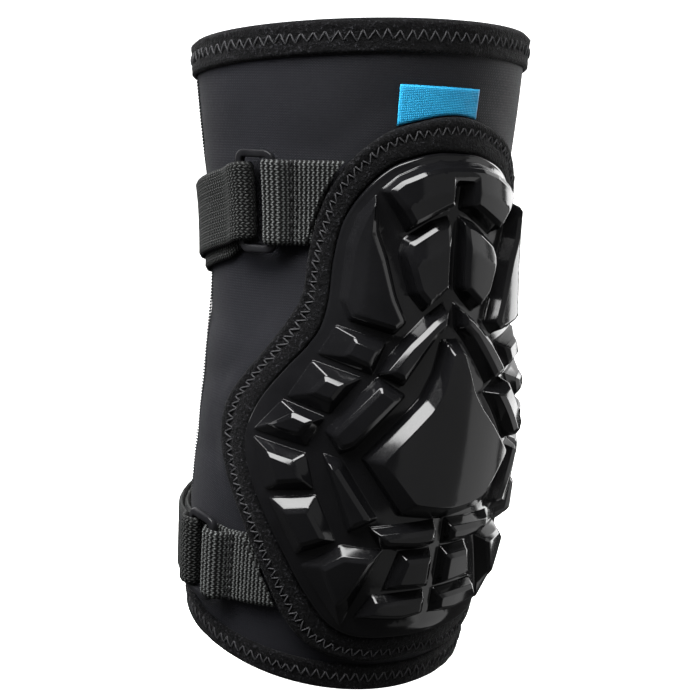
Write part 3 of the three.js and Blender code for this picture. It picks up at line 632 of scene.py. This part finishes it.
def dress_hem(name, edge_at, way, width, seed):
    """A binding folded over a rim, a little uneven and puffed between its stitches."""
    columns = 300
    outer, inner = HEM["thick"], -SLEEVE["wall"] - HEM["thick"]
    over, under = HEM["gap"], -SLEEVE["wall"] - HEM["gap"]
    across = [i / 14 for i in range(15)]
    points, uvs = [], []
    for i in range(columns):
        turn = i / columns * 2 * math.pi - math.pi
        edge = edge_at(turn)
        section = []
        for share in across:
            down = width * (1 - share) * 0.93 + 0.65
            pinch = 0.3 * math.exp(-((down - STITCH_DOWN) / 1.6) ** 2)
            lip = 0.7 * smooth_step((share - 0.93) / 0.07) + 0.8 * (1 - smooth_step(share / 0.06))
            wobble = 0.22 * ripple(turn, down * 4, seed, 9)
            section.append((outer - pinch - lip + wobble * (1 - lip), down))
        for share in (0.2, 0.5, 0.8):
            section.append((outer - 0.5 + share * (inner + 0.5 - outer + 0.5), 0.1))
        section += [(inner + lift, down) for lift, down in ((0.25, 0.7), (0, 2), (0, width))]
        section += [(under, width), (under, HEM["inset"]), (over, HEM["inset"]), (over, width)]
        for lift, down in section:
            points.append(on_sleeve(turn, edge - way * down, lift))
            uvs.append((turn * CHART_RADIUS, down))
    faces = loop_faces(columns, len(section))
    add_mesh(name + "_cloth", points, faces, BINDING, uvs, [name])


def add_threads(name, paths, radius, material, sides=5, is_closed=False):
    """Round threads along paths of points in mm, all in one mesh."""
    points, faces = [], []
    for path in paths:
        start = len(points)
        count = len(path)
        for i, point in enumerate(path):
            after = path[(i + 1) % count] if is_closed else path[min(count - 1, i + 1)]
            before = path[i - 1] if is_closed or i else path[0]
            along = (after - before).normalized()
            out = Vector((point.x, point.y, 0)).normalized()
            across = along.cross(out).normalized()
            out = across.cross(along)
            for k in range(sides):
                turn = k / sides * 2 * math.pi
                shift = across * math.cos(turn) + out * math.sin(turn)
                points.append(point + shift * radius)
        for face in loop_faces(count, sides, is_closed):
            faces.append(tuple(start + corner for corner in face))
        if not is_closed:
            faces += end_faces(count, sides, start)
    add_mesh(name, points, faces, material, None, ())


def zigzag(place, length, pitch, reach, lift, seed):
    """One closed zigzag thread. place(along, across, lift) gives its points."""
    count = 2 * round(length / pitch)
    hand = random.Random(seed)
    ends = [(hand.uniform(-0.16, 0.16), hand.uniform(0.8, 1.15)) for _ in range(count)]
    path = []
    for i in range(count):
        way = 1 if i % 2 else -1
        (early, wide), (late, next_wide) = ends[i], ends[(i + 1) % count]
        sunk = hand.uniform(-0.2, 0.1)
        for share, high in ((0, -0.35), (0.18, 0.12), (0.5, 0.26), (0.82, 0.12)):
            along = (i + share + early * (1 - share) + late * share) / count * length
            across = way * reach * (wide * (1 - share) - next_wide * share)
            path.append(place(max(0, along), across, lift + high + sunk))
    return path


def dress_hem_stitches(name, edge_at, way):
    def place(along, across, lift):
        turn = along / CHART_RADIUS - math.pi
        return on_sleeve(turn, edge_at(turn) - way * (STITCH_DOWN + across), lift)

    path = zigzag(place, ROUND, **HEM_ZIGZAG)
    add_threads(name, [path], THREAD, PALE_THREAD, is_closed=True)


# Side seam: a flat overlocked seam down the sleeve
SEAM = {"turn": -121, "width": 3.4, "pitch": 1.0, "slant": 0.7, "thread": 0.24,
        "off_bottom": 12, "off_top": 14}


def dress_seam():
    low, high = rim_bottom(0) + SEAM["off_bottom"], rim_top(0) - SEAM["off_top"]
    paths = []
    for i in range(int((high - low) / SEAM["pitch"])):
        up = low + i * SEAM["pitch"]
        path = []
        for share in (0, 0.15, 0.35, 0.65, 0.85, 1):
            across = SEAM["turn"] / 180 * math.pi * CHART_RADIUS + (share - 0.5) * SEAM["width"]
            high_point = 0.3 * math.sin(share * math.pi) ** 0.5 if 0 < share < 1 else -0.2
            rise = up + share * SEAM["pitch"] * SEAM["slant"]
            path.append(on_chart(across, rise, high_point - 0.3))
        paths.append(path)
    add_threads("side_seam", paths, SEAM["thread"], DARK_THREAD)


# Padded border: a soft ring with a plain turned edge, a zigzag row and a looped inner band
LOOP = 240
SHELL_EDGE = closed_outline(SHELL_OUTLINE, LOOP)
BORDER_INNER = inset(SHELL_EDGE, -GAP)
BORDER_OUTER = closed_outline(BORDER_OUTLINE, LOOP)
BORDER_COARSE = closed_outline(BORDER_OUTLINE, 60)
RIM_COARSE = closed_outline(SHELL_OUTLINE, 80)
# share across from the shell's side, lift
BORDER_PROFILE = [
    (0, 0.5), (0, 2.2), (0.015, 2.75), (0.05, 3.05), (0.1, 3.2), (0.18, 3.25), (0.27, 3.22),
    (0.36, 3.15), (0.44, 3.0), (0.5, 2.8), (0.55, 2.6), (0.6, 2.5), (0.65, 2.6), (0.71, 2.85),
    (0.78, 3.0), (0.85, 2.95), (0.91, 2.7), (0.96, 2.25), (0.99, 1.6), (1, 1.0), (0.99, 0.5),
]
ZIGZAG_SHARE = 0.6
BORDER_SWELL = 0.14
BORDER_CELL = (1.7, 12)  # mm between two sections and across one


def border_place(i, share, lift):
    inner, outer = BORDER_INNER[i % LOOP], BORDER_OUTER[i % LOOP]
    across = inner[0] + share * (outer[0] - inner[0])
    up = inner[1] + share * (outer[1] - inner[1])
    return on_chart(across + AXIS, up, lift)


def dress_border():
    points, uvs = [], []
    wave = random.Random(5)
    swells = [wave.uniform(-BORDER_SWELL, BORDER_SWELL) for _ in range(LOOP)]
    for i in range(LOOP):
        swell = (swells[i] + swells[i - 1] + swells[i - 2]) / 3
        for share, lift in BORDER_PROFILE:
            soft = swell if 0 < share < 0.95 else 0
            points.append(border_place(i, share, lift + soft))
            uvs.append((i * BORDER_CELL[0], share * BORDER_CELL[1]))
    made = add_mesh("border_pad", points, loop_faces(LOOP, len(BORDER_PROFILE)), BINDING, uvs,
                    ["pad_border"])
    soften = made.modifiers.new("soften", "SUBSURF")
    soften.levels = soften.render_levels = 1


def dress_border_stitches():
    middle = [border_place(i, ZIGZAG_SHARE, 2.5) for i in range(LOOP)]
    lengths = [0]
    for a, b in zip(middle, middle[1:] + middle[:1]):
        lengths.append(lengths[-1] + (b - a).length)

    def place(along, across, lift):
        along = min(along, lengths[-1] - 0.01)
        low, high = 0, LOOP
        while high - low > 1:
            index = (low + high) // 2
            low, high = (index, high) if lengths[index] <= along else (low, index)
        share = (along - lengths[low]) / (lengths[low + 1] - lengths[low])
        width = (border_place(low, 1, 0) - border_place(low, 0, 0)).length
        at = ZIGZAG_SHARE + across / width
        return border_place(low, at, lift).lerp(border_place(low + 1, at, lift), share)

    path = zigzag(place, lengths[-1], **BORDER_ZIGZAG)
    add_threads("border_stitches", [path], THREAD, PALE_THREAD, is_closed=True)


# Shell: loops of points from foot to top for each block, and a floor between the feet
CORNER_RADIUS = 0.9
CORNER_STEPS = 4
EDGE_STEP = 2.4
# which outline, how far inward, share of the height, drop below it
BLOCK_LAYERS = [
    ("foot", -0.3, 0, 0), ("foot", -0.12, 0, -0.12), ("foot", -0.02, 0, -0.42),
    ("foot", 0.1, 0, -0.68), ("foot", 0.28, 0, -0.8), ("top", -0.12, 1, 1.25),
    ("top", 0, 1, 1.0), ("top", 0.14, 1, 0.87), ("top", 1.12, 1, 0.1), ("top", 1.28, 1, 0.01),
    ("top", 1.5, 1, 0),
]
SHOULDER_LAYERS = [
    ("foot", -1.5, 0, 0), ("foot", -1.1, 0, -0.12), ("foot", -0.9, 0, -0.4),
    ("foot", -0.15, 0, -2.6), ("foot", 0, 0, -2.85), ("foot", 0.2, 0, -3),
    ("top", -0.2, 1, 0.15), ("top", 0, 1, 0.03), ("top", 0.25, 1, 0),
]
# inward from the outline, lift off the sleeve
RIM_LAYERS = [
    (0, 0.4), (0, 3.4), (0.12, 3.9), (0.42, 4.25), (0.9, 4.42), (1.4, 4.5),
]
FLANGE_WIDTH = 3
# spacing of the points in a folded top, a flat top and the floor
FILL = {"folded": 1.3, "flat": 2.4, "floor": 2.6}
CREASE_STEP = 0.4
CREASE_STEPS = 120


def sized(corners):
    return [(out * UNIT, up * UNIT) for out, up in corners]


def safe_inset(corners, distance):
    """The polygon moved inward by as much of the distance as leaves every edge its way."""
    if distance <= 0:
        return inset(corners, distance)
    while distance > 0.05:
        moved = inset(corners, distance)
        is_good = True
        for i, corner in enumerate(corners):
            after = (i + 1) % len(corners)
            was = (corners[after][0] - corner[0], corners[after][1] - corner[1])
            now = (moved[after][0] - moved[i][0], moved[after][1] - moved[i][1])
            if was[0] * now[0] + was[1] * now[1] < 0.15 * (was[0] ** 2 + was[1] ** 2) ** 0.5:
                is_good = False
        if is_good:
            return moved
        distance *= 0.85
    return corners


def cut_from(corner, other, radius):
    """The point where a rounding begins on the way from a corner to another."""
    dx, dy = other[0] - corner[0], other[1] - corner[1]
    length = math.hypot(dx, dy)
    cut = min(radius, 0.42 * length)
    return corner[0] + dx / length * cut, corner[1] + dy / length * cut


def rounded(corners, radius, parts):
    """The polygon with round corners and its edges split into the given parts."""
    made = []
    for i, (x, y) in enumerate(corners):
        after = corners[(i + 1) % len(corners)]
        ax, ay = cut_from((x, y), corners[i - 1], radius)
        bx, by = cut_from((x, y), after, radius)
        for k in range(CORNER_STEPS + 1):
            t = k / CORNER_STEPS
            u, v, w = (1 - t) ** 2, 2 * t * (1 - t), t * t
            made.append((u * ax + v * x + w * bx, u * ay + v * y + w * by))
        end = cut_from(after, (x, y), radius)
        for k in range(1, parts[i]):
            t = k / parts[i]
            made.append((bx + t * (end[0] - bx), by + t * (end[1] - by)))
    return made


def fold_drop(block, x, y):
    """How far a block's top has dropped at a place, past its fold."""
    x = abs(x)
    if "ring_fold" in block:
        centre_x, centre_y, radius, slope = block["ring_fold"]
        past = math.hypot(x - centre_x * UNIT, y - centre_y * UNIT) - radius * UNIT
        return slope * max(0, past)
    if "fold" in block:
        at_x, at_y, normal_x, normal_y, slope = block["fold"]
        past = (x - at_x * UNIT) * normal_x + (y - at_y * UNIT) * normal_y
        return slope * max(0, past)
    return 0


def floor_lift(x, y):
    inward = distance_to(RIM_COARSE, x, y)
    return RIM_LIFT + (FLOOR_LIFT - RIM_LIFT) * smooth_step(inward / FLANGE_WIDTH)


def on_shell(x, y, height, share=0):
    """A point of the shell above its floor; share is 0 at a foot and 1 at a top."""
    base = floor_lift(x, y) * (1 - share) + FLOOR_LIFT * share
    return on_shield(x, y, base + height)


def crease_of(block):
    """Points along a block's fold, both ways across the centre line where it is joined."""
    if "ring_fold" in block:
        x, y, radius, _ = block["ring_fold"]
        turns = [math.radians(i) for i in range(360)]
        return [((x + radius * math.sin(a)) * UNIT, (y + radius * math.cos(a)) * UNIT)
                for a in turns]
    if "fold" in block:
        x, y, normal_x, normal_y, _ = block["fold"]
        size = math.hypot(normal_x, normal_y)
        return [(x * UNIT - normal_y / size * i * CREASE_STEP,
                 y * UNIT + normal_x / size * i * CREASE_STEP)
                for i in range(-CREASE_STEPS, CREASE_STEPS + 1)]
    return []


def fill_loop(loop, holes, spacing, crease=()):
    """Flat triangles inside a loop and outside its holes, with points at an even spacing."""
    points, edges = [], []
    for ring in [loop, *holes]:
        start = len(points)
        points += [Vector(point) for point in ring]
        edges += [(start + i, start + (i + 1) % len(ring)) for i in range(len(ring))]
    folded = [(x, y) for x, y in crease if is_inside(loop, x, y) and distance_to(loop, x, y) > 0.25]
    for i, point in enumerate(folded):
        near = i and math.dist(point, folded[i - 1]) < 1
        edges += [(len(points) - 1, len(points))] if near else []
        points.append(Vector(point))
    xs, ys = [point[0] for point in loop], [point[1] for point in loop]
    row = 0
    y = min(ys) + spacing / 2
    while y < max(ys):
        x = min(xs) + spacing * (0.25 if row % 2 else 0.75)
        while x < max(xs):
            clear = spacing * 0.45
            is_free = is_inside(loop, x, y) and distance_to(loop, x, y) > clear
            if is_free and all(math.dist((x, y), point) > 0.4 for point in folded):
                if all(not is_inside(h, x, y) and distance_to(h, x, y) > clear for h in holes):
                    points.append(Vector((x, y)))
            x += spacing
        y += spacing * 0.87
        row += 1
    flat, _, faces, _, _, _ = delaunay_2d_cdt(points, edges, [], 0, 1e-4)
    kept = []
    for face in faces:
        x = sum(flat[i].x for i in face) / 3
        y = sum(flat[i].y for i in face) / 3
        if is_inside(loop, x, y) and not any(is_inside(h, x, y) for h in holes):
            kept.append(tuple(face) if area_of([flat[i] for i in face]) > 0 else tuple(face)[::-1])
    return flat, kept


def block_loops(block, side):
    """Loops of (x, y, height, share) from a block's foot to its top."""
    top = sized(block["top"])
    foot = sized(block["foot"]) if "foot" in block else None
    if block.get("joined"):
        top = top + [(-x, y) for x, y in top[-2:0:-1]]
        foot = foot + [(-x, y) for x, y in foot[-2:0:-1]] if foot else None
    if area_of(top) < 0:
        top = top[::-1]
        foot = foot[::-1] if foot else None
    if not foot:
        clear = -math.inf if block.get("joined") else MIDDLE_GROOVE / 2
        foot = [(max(x, clear), y) for x, y in inset(top, -BLOCK_DRAFT)]
    if side < 0:
        top = [(-x, y) for x, y in top[::-1]]
        foot = [(-x, y) for x, y in foot[::-1]]
    parts = []
    for i, (x, y) in enumerate(foot):
        nx, ny = foot[(i + 1) % len(foot)]
        parts.append(max(1, round(math.hypot(nx - x, ny - y) / EDGE_STEP)))
    loops = []
    for source, inward, share, drop in SHOULDER_LAYERS if "shoulder" in block else BLOCK_LAYERS:
        corners = safe_inset(top if source == "top" else foot, inward)
        radius = max(0.35, CORNER_RADIUS - max(0, inward) * 0.35)
        loop = []
        for x, y in rounded(corners, radius, parts):
            whole = block["height"] * share - drop
            height = whole * (1 - fold_drop(block, x, y) / block["height"])
            loop.append((x, y, height, share))
        loops.append(loop)
    return loops


def dress_shell():
    points, faces = [], []

    def add_loops(loops):
        start, size = len(points), len(loops[0])
        for loop in loops:
            points.extend(loop)
        faces.extend(tuple(start + i for i in face)
                     for face in loop_faces(len(loops), size, is_ring=False))

    def add_fill(loop, holes, spacing, place, crease=()):
        start = len(points)
        flat, triangles = fill_loop([point[:2] for point in loop], holes, spacing, crease)
        points.extend(place(point.x, point.y) for point in flat)
        faces.extend(tuple(start + i for i in face) for face in triangles)

    feet = []
    for block in BLOCKS:
        for side in [1] if block.get("joined") else [-1, 1]:
            loops = block_loops(block, side)
            add_loops([[on_shell(*point) for point in loop] for loop in loops])
            feet.append([point[:2] for point in loops[0]])

            def top_at(x, y, block=block):
                return on_shell(x, y, block["height"] - fold_drop(block, x, y), 1)

            crease = [(side * x, y) for x, y in crease_of(block)]
            add_fill(loops[-1], [], FILL["folded" if crease else "flat"], top_at, crease)
    edge = SHELL_EDGE if area_of(SHELL_EDGE) > 0 else SHELL_EDGE[::-1]
    rims = []
    for inward, lift in RIM_LAYERS:
        ring = inset(edge, inward)
        rims.append([on_shield(x, y, lift) for x, y in ring])
    add_loops(rims)
    inner = inset(edge, RIM_LAYERS[-1][0])
    add_fill(inner, feet, FILL["floor"], lambda x, y: on_shell(x, y, 0))
    made = add_mesh("shell_body", points, faces, SHELL, None, ["impact_shell"])
    mesh = bmesh.new()
    mesh.from_mesh(made.data)
    bmesh.ops.remove_doubles(mesh, verts=mesh.verts, dist=0.02 * MM)
    mesh.to_mesh(made.data)
    mesh.free()
    crisp = made.modifiers.new("crisp", "WEIGHTED_NORMAL")
    crisp.keep_sharp = False
    crisp.weight = 60


# Straps, tabs and rings
OUTER_SIDE = BORDER_OUTER[:LOOP // 2 + 1]


def border_edge_at(up, way):
    """The border's edge on the chart at a height, on the side -1 or 1."""
    for (x0, y0), (x1, y1) in zip(OUTER_SIDE, OUTER_SIDE[1:]):
        if y1 <= up:
            return way * abs(x0 + (up - y0) / (y1 - y0) * (x1 - x0)) + AXIS
    return AXIS


def strap_start(up):
    """Where a strap begins, under the border and once round the back."""
    return border_edge_at(up, 1) + 1 - ROUND


def tab_end(up):
    """Where a tab ends under the border."""
    return border_edge_at(up, -1) - 1


def border_top_at(across):
    """The border's upper edge at a place across the chart."""
    out = abs(across - AXIS)
    for (x0, y0), (x1, y1) in zip(OUTER_SIDE, OUTER_SIDE[1:]):
        if -x1 >= out:
            return y0 + (out + x0) / (x0 - x1) * (y1 - y0)
    return 0


def belt_up_at(belt, across, lift):
    """The height of a belt's middle: it rises to the border and falls towards the back."""
    ahead = max(0, across + belt["ring_at"] - 1.4 * RING["half_length"])
    start = strap_start(belt["up"])
    past = -across - belt["ring_at"] - 0.65 * RING["half_length"]
    behind = max(0, min(past, across - start))
    over = smooth_step((lift - GAP - WEBBING) / GAP)
    fall = belt["fall"] * math.sin(math.pi / 2 * min(1, behind / belt["fall_reach"]))
    further = belt["under_fall"] * (1 - over) * smooth_step(behind / (2 * RING["half_length"]))
    return belt["up"] + belt["rise"] * ahead - fall - further


def finely(path, step):
    """A smooth curve through (across, lift) points, at even steps."""
    made = []
    count = len(path)
    for i in range(count - 1):
        p0, p1 = path[max(0, i - 1)], path[i]
        p2, p3 = path[i + 1], path[min(count - 1, i + 2)]
        length = math.hypot(p2[0] - p1[0], p2[1] - p1[1])
        parts = max(1, round(length / step))
        for k in range(parts):
            t = k / parts
            made.append(tuple(
                0.5 * (2 * p1[j] + (p2[j] - p0[j]) * t
                       + (2 * p0[j] - 5 * p1[j] + 4 * p2[j] - p3[j]) * t * t
                       + (3 * p1[j] - p0[j] - 3 * p2[j] + p3[j]) * t ** 3)
                for j in (0, 1)))
    made.append(path[-1])
    return made


def steps_between(start, end, lift, length=7.8):
    count = math.ceil(abs(end - start) / length)
    return [(start + i / count * (end - start), lift) for i in range(count + 1)]


def strap_path(belt):
    """The strap's centre line: round the back, up through the ring and back over itself."""
    half = WEBBING / 2
    under = GAP + half
    over = under + WEBBING + GAP
    bar_outer = -belt["ring_at"] - RING["half_length"]
    bar_inner = bar_outer + RING["bar"]
    high = RING["low"] + RING["thick"]
    start = strap_start(belt["up"])
    return [
        *steps_between(start, bar_outer - RING["bar"] * 2, under),
        (bar_outer - 0.5, under + 0.1), (bar_inner - 0.2, under + 0.3),
        (bar_inner + 1.5, under + 1.2), (bar_inner + 2, (under + high) / 2 + 0.8),
        (bar_inner + 1.5, high + 0.5), (bar_inner, high + half + 0.5),
        (bar_outer, high + half + 0.5), (bar_outer - 2.3, high + 0.6),
        (bar_outer - RING["bar"] * 1.9, over + 1.4), (bar_outer - RING["bar"] * 3.1, over + 0.3),
        *steps_between(bar_outer - RING["bar"] * 4.6, -belt["free_end"], over),
    ]


SKEW_LENGTH = 9  # how soon a slanted start runs out
SELVEDGE = 0.045  # share of the half width that is rounded


def add_webbing(name, belt, path, thick, wide, material, node, rib, start_at):
    """Webbing swept along a path of (across, lift), with rounded selvedges and woven ribs."""
    width = wide / 2
    half = thick / 2
    section = []
    columns = 22
    for way in (1, -1):
        for k in range(columns + 1):
            at = (k / columns * 2 - 1) * way
            near = max(0, abs(at) - 1 + SELVEDGE) / SELVEDGE
            section.append((at * width, way * half * math.sqrt(max(0.05, 1 - near * near * 0.95))))
    points, uvs = [], []
    length = 0
    for i, (across, lift) in enumerate(path):
        before, after = path[max(0, i - 1)], path[min(len(path) - 1, i + 1)]
        dx, dy = after[0] - before[0], after[1] - before[1]
        size = math.hypot(dx, dy)
        if i:
            length += math.hypot(across - path[i - 1][0], lift - path[i - 1][1])
        for up, off in section:
            shift = 0
            if length < SKEW_LENGTH:
                middle = belt_up_at(belt, across, lift)
                shift = (start_at(middle + up) - path[0][0]) * (1 - length / SKEW_LENGTH)
            at = across + shift - dy / size * off
            high = lift + dx / size * off * (1 + rib * math.sin(length * 2 * math.pi / RIB_PITCH))
            points.append(on_chart(at, belt_up_at(belt, at, lift) + up, high))
            uvs.append((length + shift * math.copysign(1, path[1][0] - path[0][0]), up))
    size = len(section)
    faces = loop_faces(len(path), size, is_ring=False)
    faces += end_faces(len(path), size)
    return add_mesh(name, points, faces, material, uvs, node)


def dress_strap(name, belt):
    path = finely(strap_path(belt), 1.2)
    add_webbing(name + "_webbing", belt, path, WEBBING, belt["strap"], STRAP_WEB, [name], 0,
                strap_start)


def dress_tab(name, belt):
    """The tab's outer layer, its eye round the ring's bar and the layer that goes back under."""
    layer = WEBBING * 0.8
    half = layer / 2
    bar_outer = -belt["ring_at"] + RING["half_length"]
    bar_inner = bar_outer - RING["bar"]
    high = RING["low"] + RING["thick"]
    end = tab_end(belt_up_at(belt, tab_end(belt["up"]), GAP))
    path = finely([
        (end, GAP + layer + half), ((end + bar_outer + 6.5) / 2, GAP + layer + half),
        (bar_outer + 6.5, GAP + layer + half), (bar_outer + 4.4, GAP + layer + half + 0.6),
        (bar_outer + 2.3, high + 0.3), (bar_outer + 0.2, high + 0.4 + half),
        (bar_inner, high + 0.4 + half), (bar_inner - 1.2, high - 0.1),
        (bar_inner - 0.7 - half, RING["low"] + 0.6), (bar_inner - 0.6, GAP + 1.2),
        (bar_inner + 0.8, GAP + half), (bar_outer + 1, GAP + half),
        ((end + bar_outer) / 2, GAP + half), (end, GAP + half)], 0.3)

    add_webbing(name + "_webbing", belt, path, layer, belt["tab"], TAB_WEB, [name], 0.12,
                tab_end)
    paths = []
    for off, lift in ((4.7, GAP + 2 * layer + 0.55), (6.2, GAP + 2 * layer + 0.12)):
        across = bar_outer + off
        count = round(belt["tab"] / 2.6)
        for i in range(count):
            low = belt["up"] + (i + 0.2) / count * belt["tab"] - belt["tab"] / 2
            ups = [(low, -0.3), (low + 0.25, 0.15), (low + 0.9, 0.25), (low + 1.5, 0.15),
                   (low + 1.75, -0.3)]
            paths.append([on_chart(across, up, lift + rise) for up, rise in ups])
    add_threads(name + "_stitches", paths, THREAD, DARK_THREAD)


def dress_ring(name, belt):
    """A rounded rectangle of moulded bar."""
    path = []
    half_bar = RING["bar"] / 2
    corner = RING["corner"]
    half_across = RING["half_length"] - half_bar - corner
    half_up = belt["ring_half"] - half_bar - corner
    for side_x, side_y in ((1, 1), (-1, 1), (-1, -1), (1, -1)):
        start = math.atan2(side_y, side_x) - math.pi / 4
        for k in range(9):
            turn = start + k / 8 * math.pi / 2
            path.append(((side_x * half_across, side_y * half_up), turn, corner))
        if side_x != side_y:
            for k in range(1, 10):
                share = 1 - k / 5
                path.append(((side_x * half_across, side_y * share * half_up),
                             0 if side_x > 0 else math.pi, corner))
    half_thick = RING["thick"] / 2
    section = []
    for k in range(20):
        turn = (k + 0.5) / 20 * 2 * math.pi
        c, s = math.cos(turn), math.sin(turn)
        section.append((half_bar * math.copysign(abs(c) ** RING["round"], c),
                        half_thick + half_thick * math.copysign(abs(s) ** RING["round"], s)))
    points = []
    for (x, y), turn, radius in path:
        for off, high in section:
            points.append(on_chart(
                -belt["ring_at"] + x + math.cos(turn) * (radius + off),
                belt["up"] + y + math.sin(turn) * (radius + off),
                RING["low"] + high))
    add_mesh(name + "_bar", points, loop_faces(len(path), len(section)), RING_PLASTIC, None,
             [name])


def dress_label():
    """A bare woven patch whose lower edge follows the border."""
    columns, rows = 44, 14
    points, uvs = [], []
    for i in range(columns + 1):
        across = LABEL["at"] + (i / columns - 0.5) * LABEL["width"]
        low = max(border_top_at(across) + GAP, LABEL["top"] - LABEL["height"])
        section = []
        for k in range(rows + 1):
            up = low + k / rows * (LABEL["top"] - low)
            edge = min(k, rows - k, i, columns - i)
            section.append((up, GAP + LABEL["thick"] - (0.25 if edge == 0 else 0)))
        section += [(LABEL["top"], GAP), (low, GAP)]
        for up, lift in section:
            points.append(on_chart(across, up, lift))
            uvs.append((across, up))
    size = rows + 3
    faces = loop_faces(columns + 1, size, is_ring=False)
    faces += end_faces(columns + 1, size)
    add_mesh("label_patch", points, faces, LABEL_WEAVE, uvs, ["label"])


# Floor, backdrop and lights
FLOOR = -112


def plain_material(name, colour, glow):
    look = Look(name, colour, 0.9, 0.1)
    look.shader.inputs["Emission Color"].default_value = (1, 1, 1, 1)
    look.shader.inputs["Emission Strength"].default_value = glow
    patch = look.noise(look.space(), 3, 2)
    low, high = (tuple(part * share for part in colour) for share in (0.99, 1.0))
    return look.finish(look.tones(patch, (0.3, low), (0.7, high)))


STAGE_RADIUS = 1900
BACKDROP_TURN = 62  # how far round the lit backdrop reaches, to either side


def add_stage_sheet(name, turns, rows, material):
    """A bent sheet round the object: rows hold a distance from the middle and a height."""
    points = [
        Vector((math.sin(turn) * far, math.cos(turn) * far, up)) * MM
        for far, up in rows for turn in turns
    ]
    count = len(turns)
    faces = [
        (k * count + i, k * count + i + 1, (k + 1) * count + i + 1, (k + 1) * count + i)
        for k in range(len(rows) - 1) for i in range(count - 1)
    ]
    mesh = bpy.data.meshes.new(name)
    mesh.from_pydata(points, [], faces)
    mesh.polygons.foreach_set("use_smooth", [True] * len(faces))
    mesh.materials.append(material)
    made = bpy.data.objects.new(name, mesh)
    made.matrix_world = Matrix.Rotation(math.radians(VIEW["azimuth"]), 4, "Z")
    bpy.context.scene.collection.objects.link(made)
    return made


def add_stage():
    """A pale floor and wall all round, and the part of the wall that the shell mirrors."""
    pale = plain_material("pale_floor", (0.86, 0.86, 0.86), 0.9)
    wall = plain_material("pale_backdrop", (0.86, 0.86, 0.86), 1.0)
    whole = [math.radians(i * 10) for i in range(37)]
    rows = [(0.1, FLOOR), (500, FLOOR), (STAGE_RADIUS * 0.8, FLOOR), (STAGE_RADIUS, FLOOR + 150),
            (STAGE_RADIUS * 1.02, FLOOR + 600), (STAGE_RADIUS * 1.02, STAGE_RADIUS * 2)]
    floor = add_stage_sheet("floor", whole, rows, pale)
    floor.visible_glossy = False
    floor.visible_diffuse = False
    floor.visible_shadow = False
    part = [math.radians(i / 8 * BACKDROP_TURN) for i in range(-8, 9)]
    rows = [(STAGE_RADIUS * 0.98, FLOOR + 160), (STAGE_RADIUS * 0.98, STAGE_RADIUS)]
    add_stage_sheet("backdrop", part, rows, wall)


WORLD_GLOW = 0.05
LIGHTS = [
    # name, azimuth, elevation, distance in m, width, height, power in W, seen in the shell
    ("key", -62, 55, 1.0, 1.2, 0.42, 22, True),
    ("rim", 88, 2, 1.1, 0.35, 0.9, 5, True),
    ("right", 56, -10, 1.2, 0.7, 1.8, 3.6, True),
    ("front", 15, -8, 1.3, 1.2, 2.0, 1.8, True),
    ("soft_key", -96, 46, 1.1, 0.8, 0.8, 30, False),
    ("left_fill", -128, 8, 1.2, 0.7, 0.9, 7, False),
    ("back_fill", 140, 25, 1.3, 1.2, 1.0, 14, False),
]


def add_lights():
    for name, azimuth, elevation, distance, width, height, power, is_seen in LIGHTS:
        data = bpy.data.lights.new(name, "AREA")
        data.shape = "RECTANGLE"
        data.size = width
        data.size_y = height
        data.energy = power
        lamp = bpy.data.objects.new(name, data)
        a, e = math.radians(azimuth), math.radians(elevation)
        away = Vector((math.sin(a) * math.cos(e), -math.cos(a) * math.cos(e), math.sin(e)))
        turn = away.to_track_quat("Z", "Y").to_matrix().to_4x4()
        lamp.matrix_world = Matrix.Translation(away * distance) @ turn
        lamp.visible_glossy = is_seen
        bpy.context.scene.collection.objects.link(lamp)
    world = bpy.data.worlds.new("studio")
    world.use_nodes = True
    background = world.node_tree.nodes["Background"]
    background.inputs["Color"].default_value = (1, 1, 1, 1)
    background.inputs["Strength"].default_value = WORLD_GLOW
    bpy.context.scene.world = world


dress_sleeve()
dress_hem("top_hem", rim_top, 1, HEM["top_width"], 11)
dress_hem("bottom_hem", rim_bottom, -1, HEM["bottom_width"], 23)
dress_hem_stitches("top_hem_stitches", rim_top, 1)
dress_hem_stitches("bottom_hem_stitches", rim_bottom, -1)
dress_seam()
dress_border()
dress_border_stitches()
dress_shell()
for end, belt in (("upper", UPPER_BELT), ("lower", LOWER_BELT)):
    dress_tab(end + "_tab", belt)
    dress_ring(end + "_ring", belt)
    dress_strap(end + "_strap", belt)
dress_label()
add_stage()
add_lights()
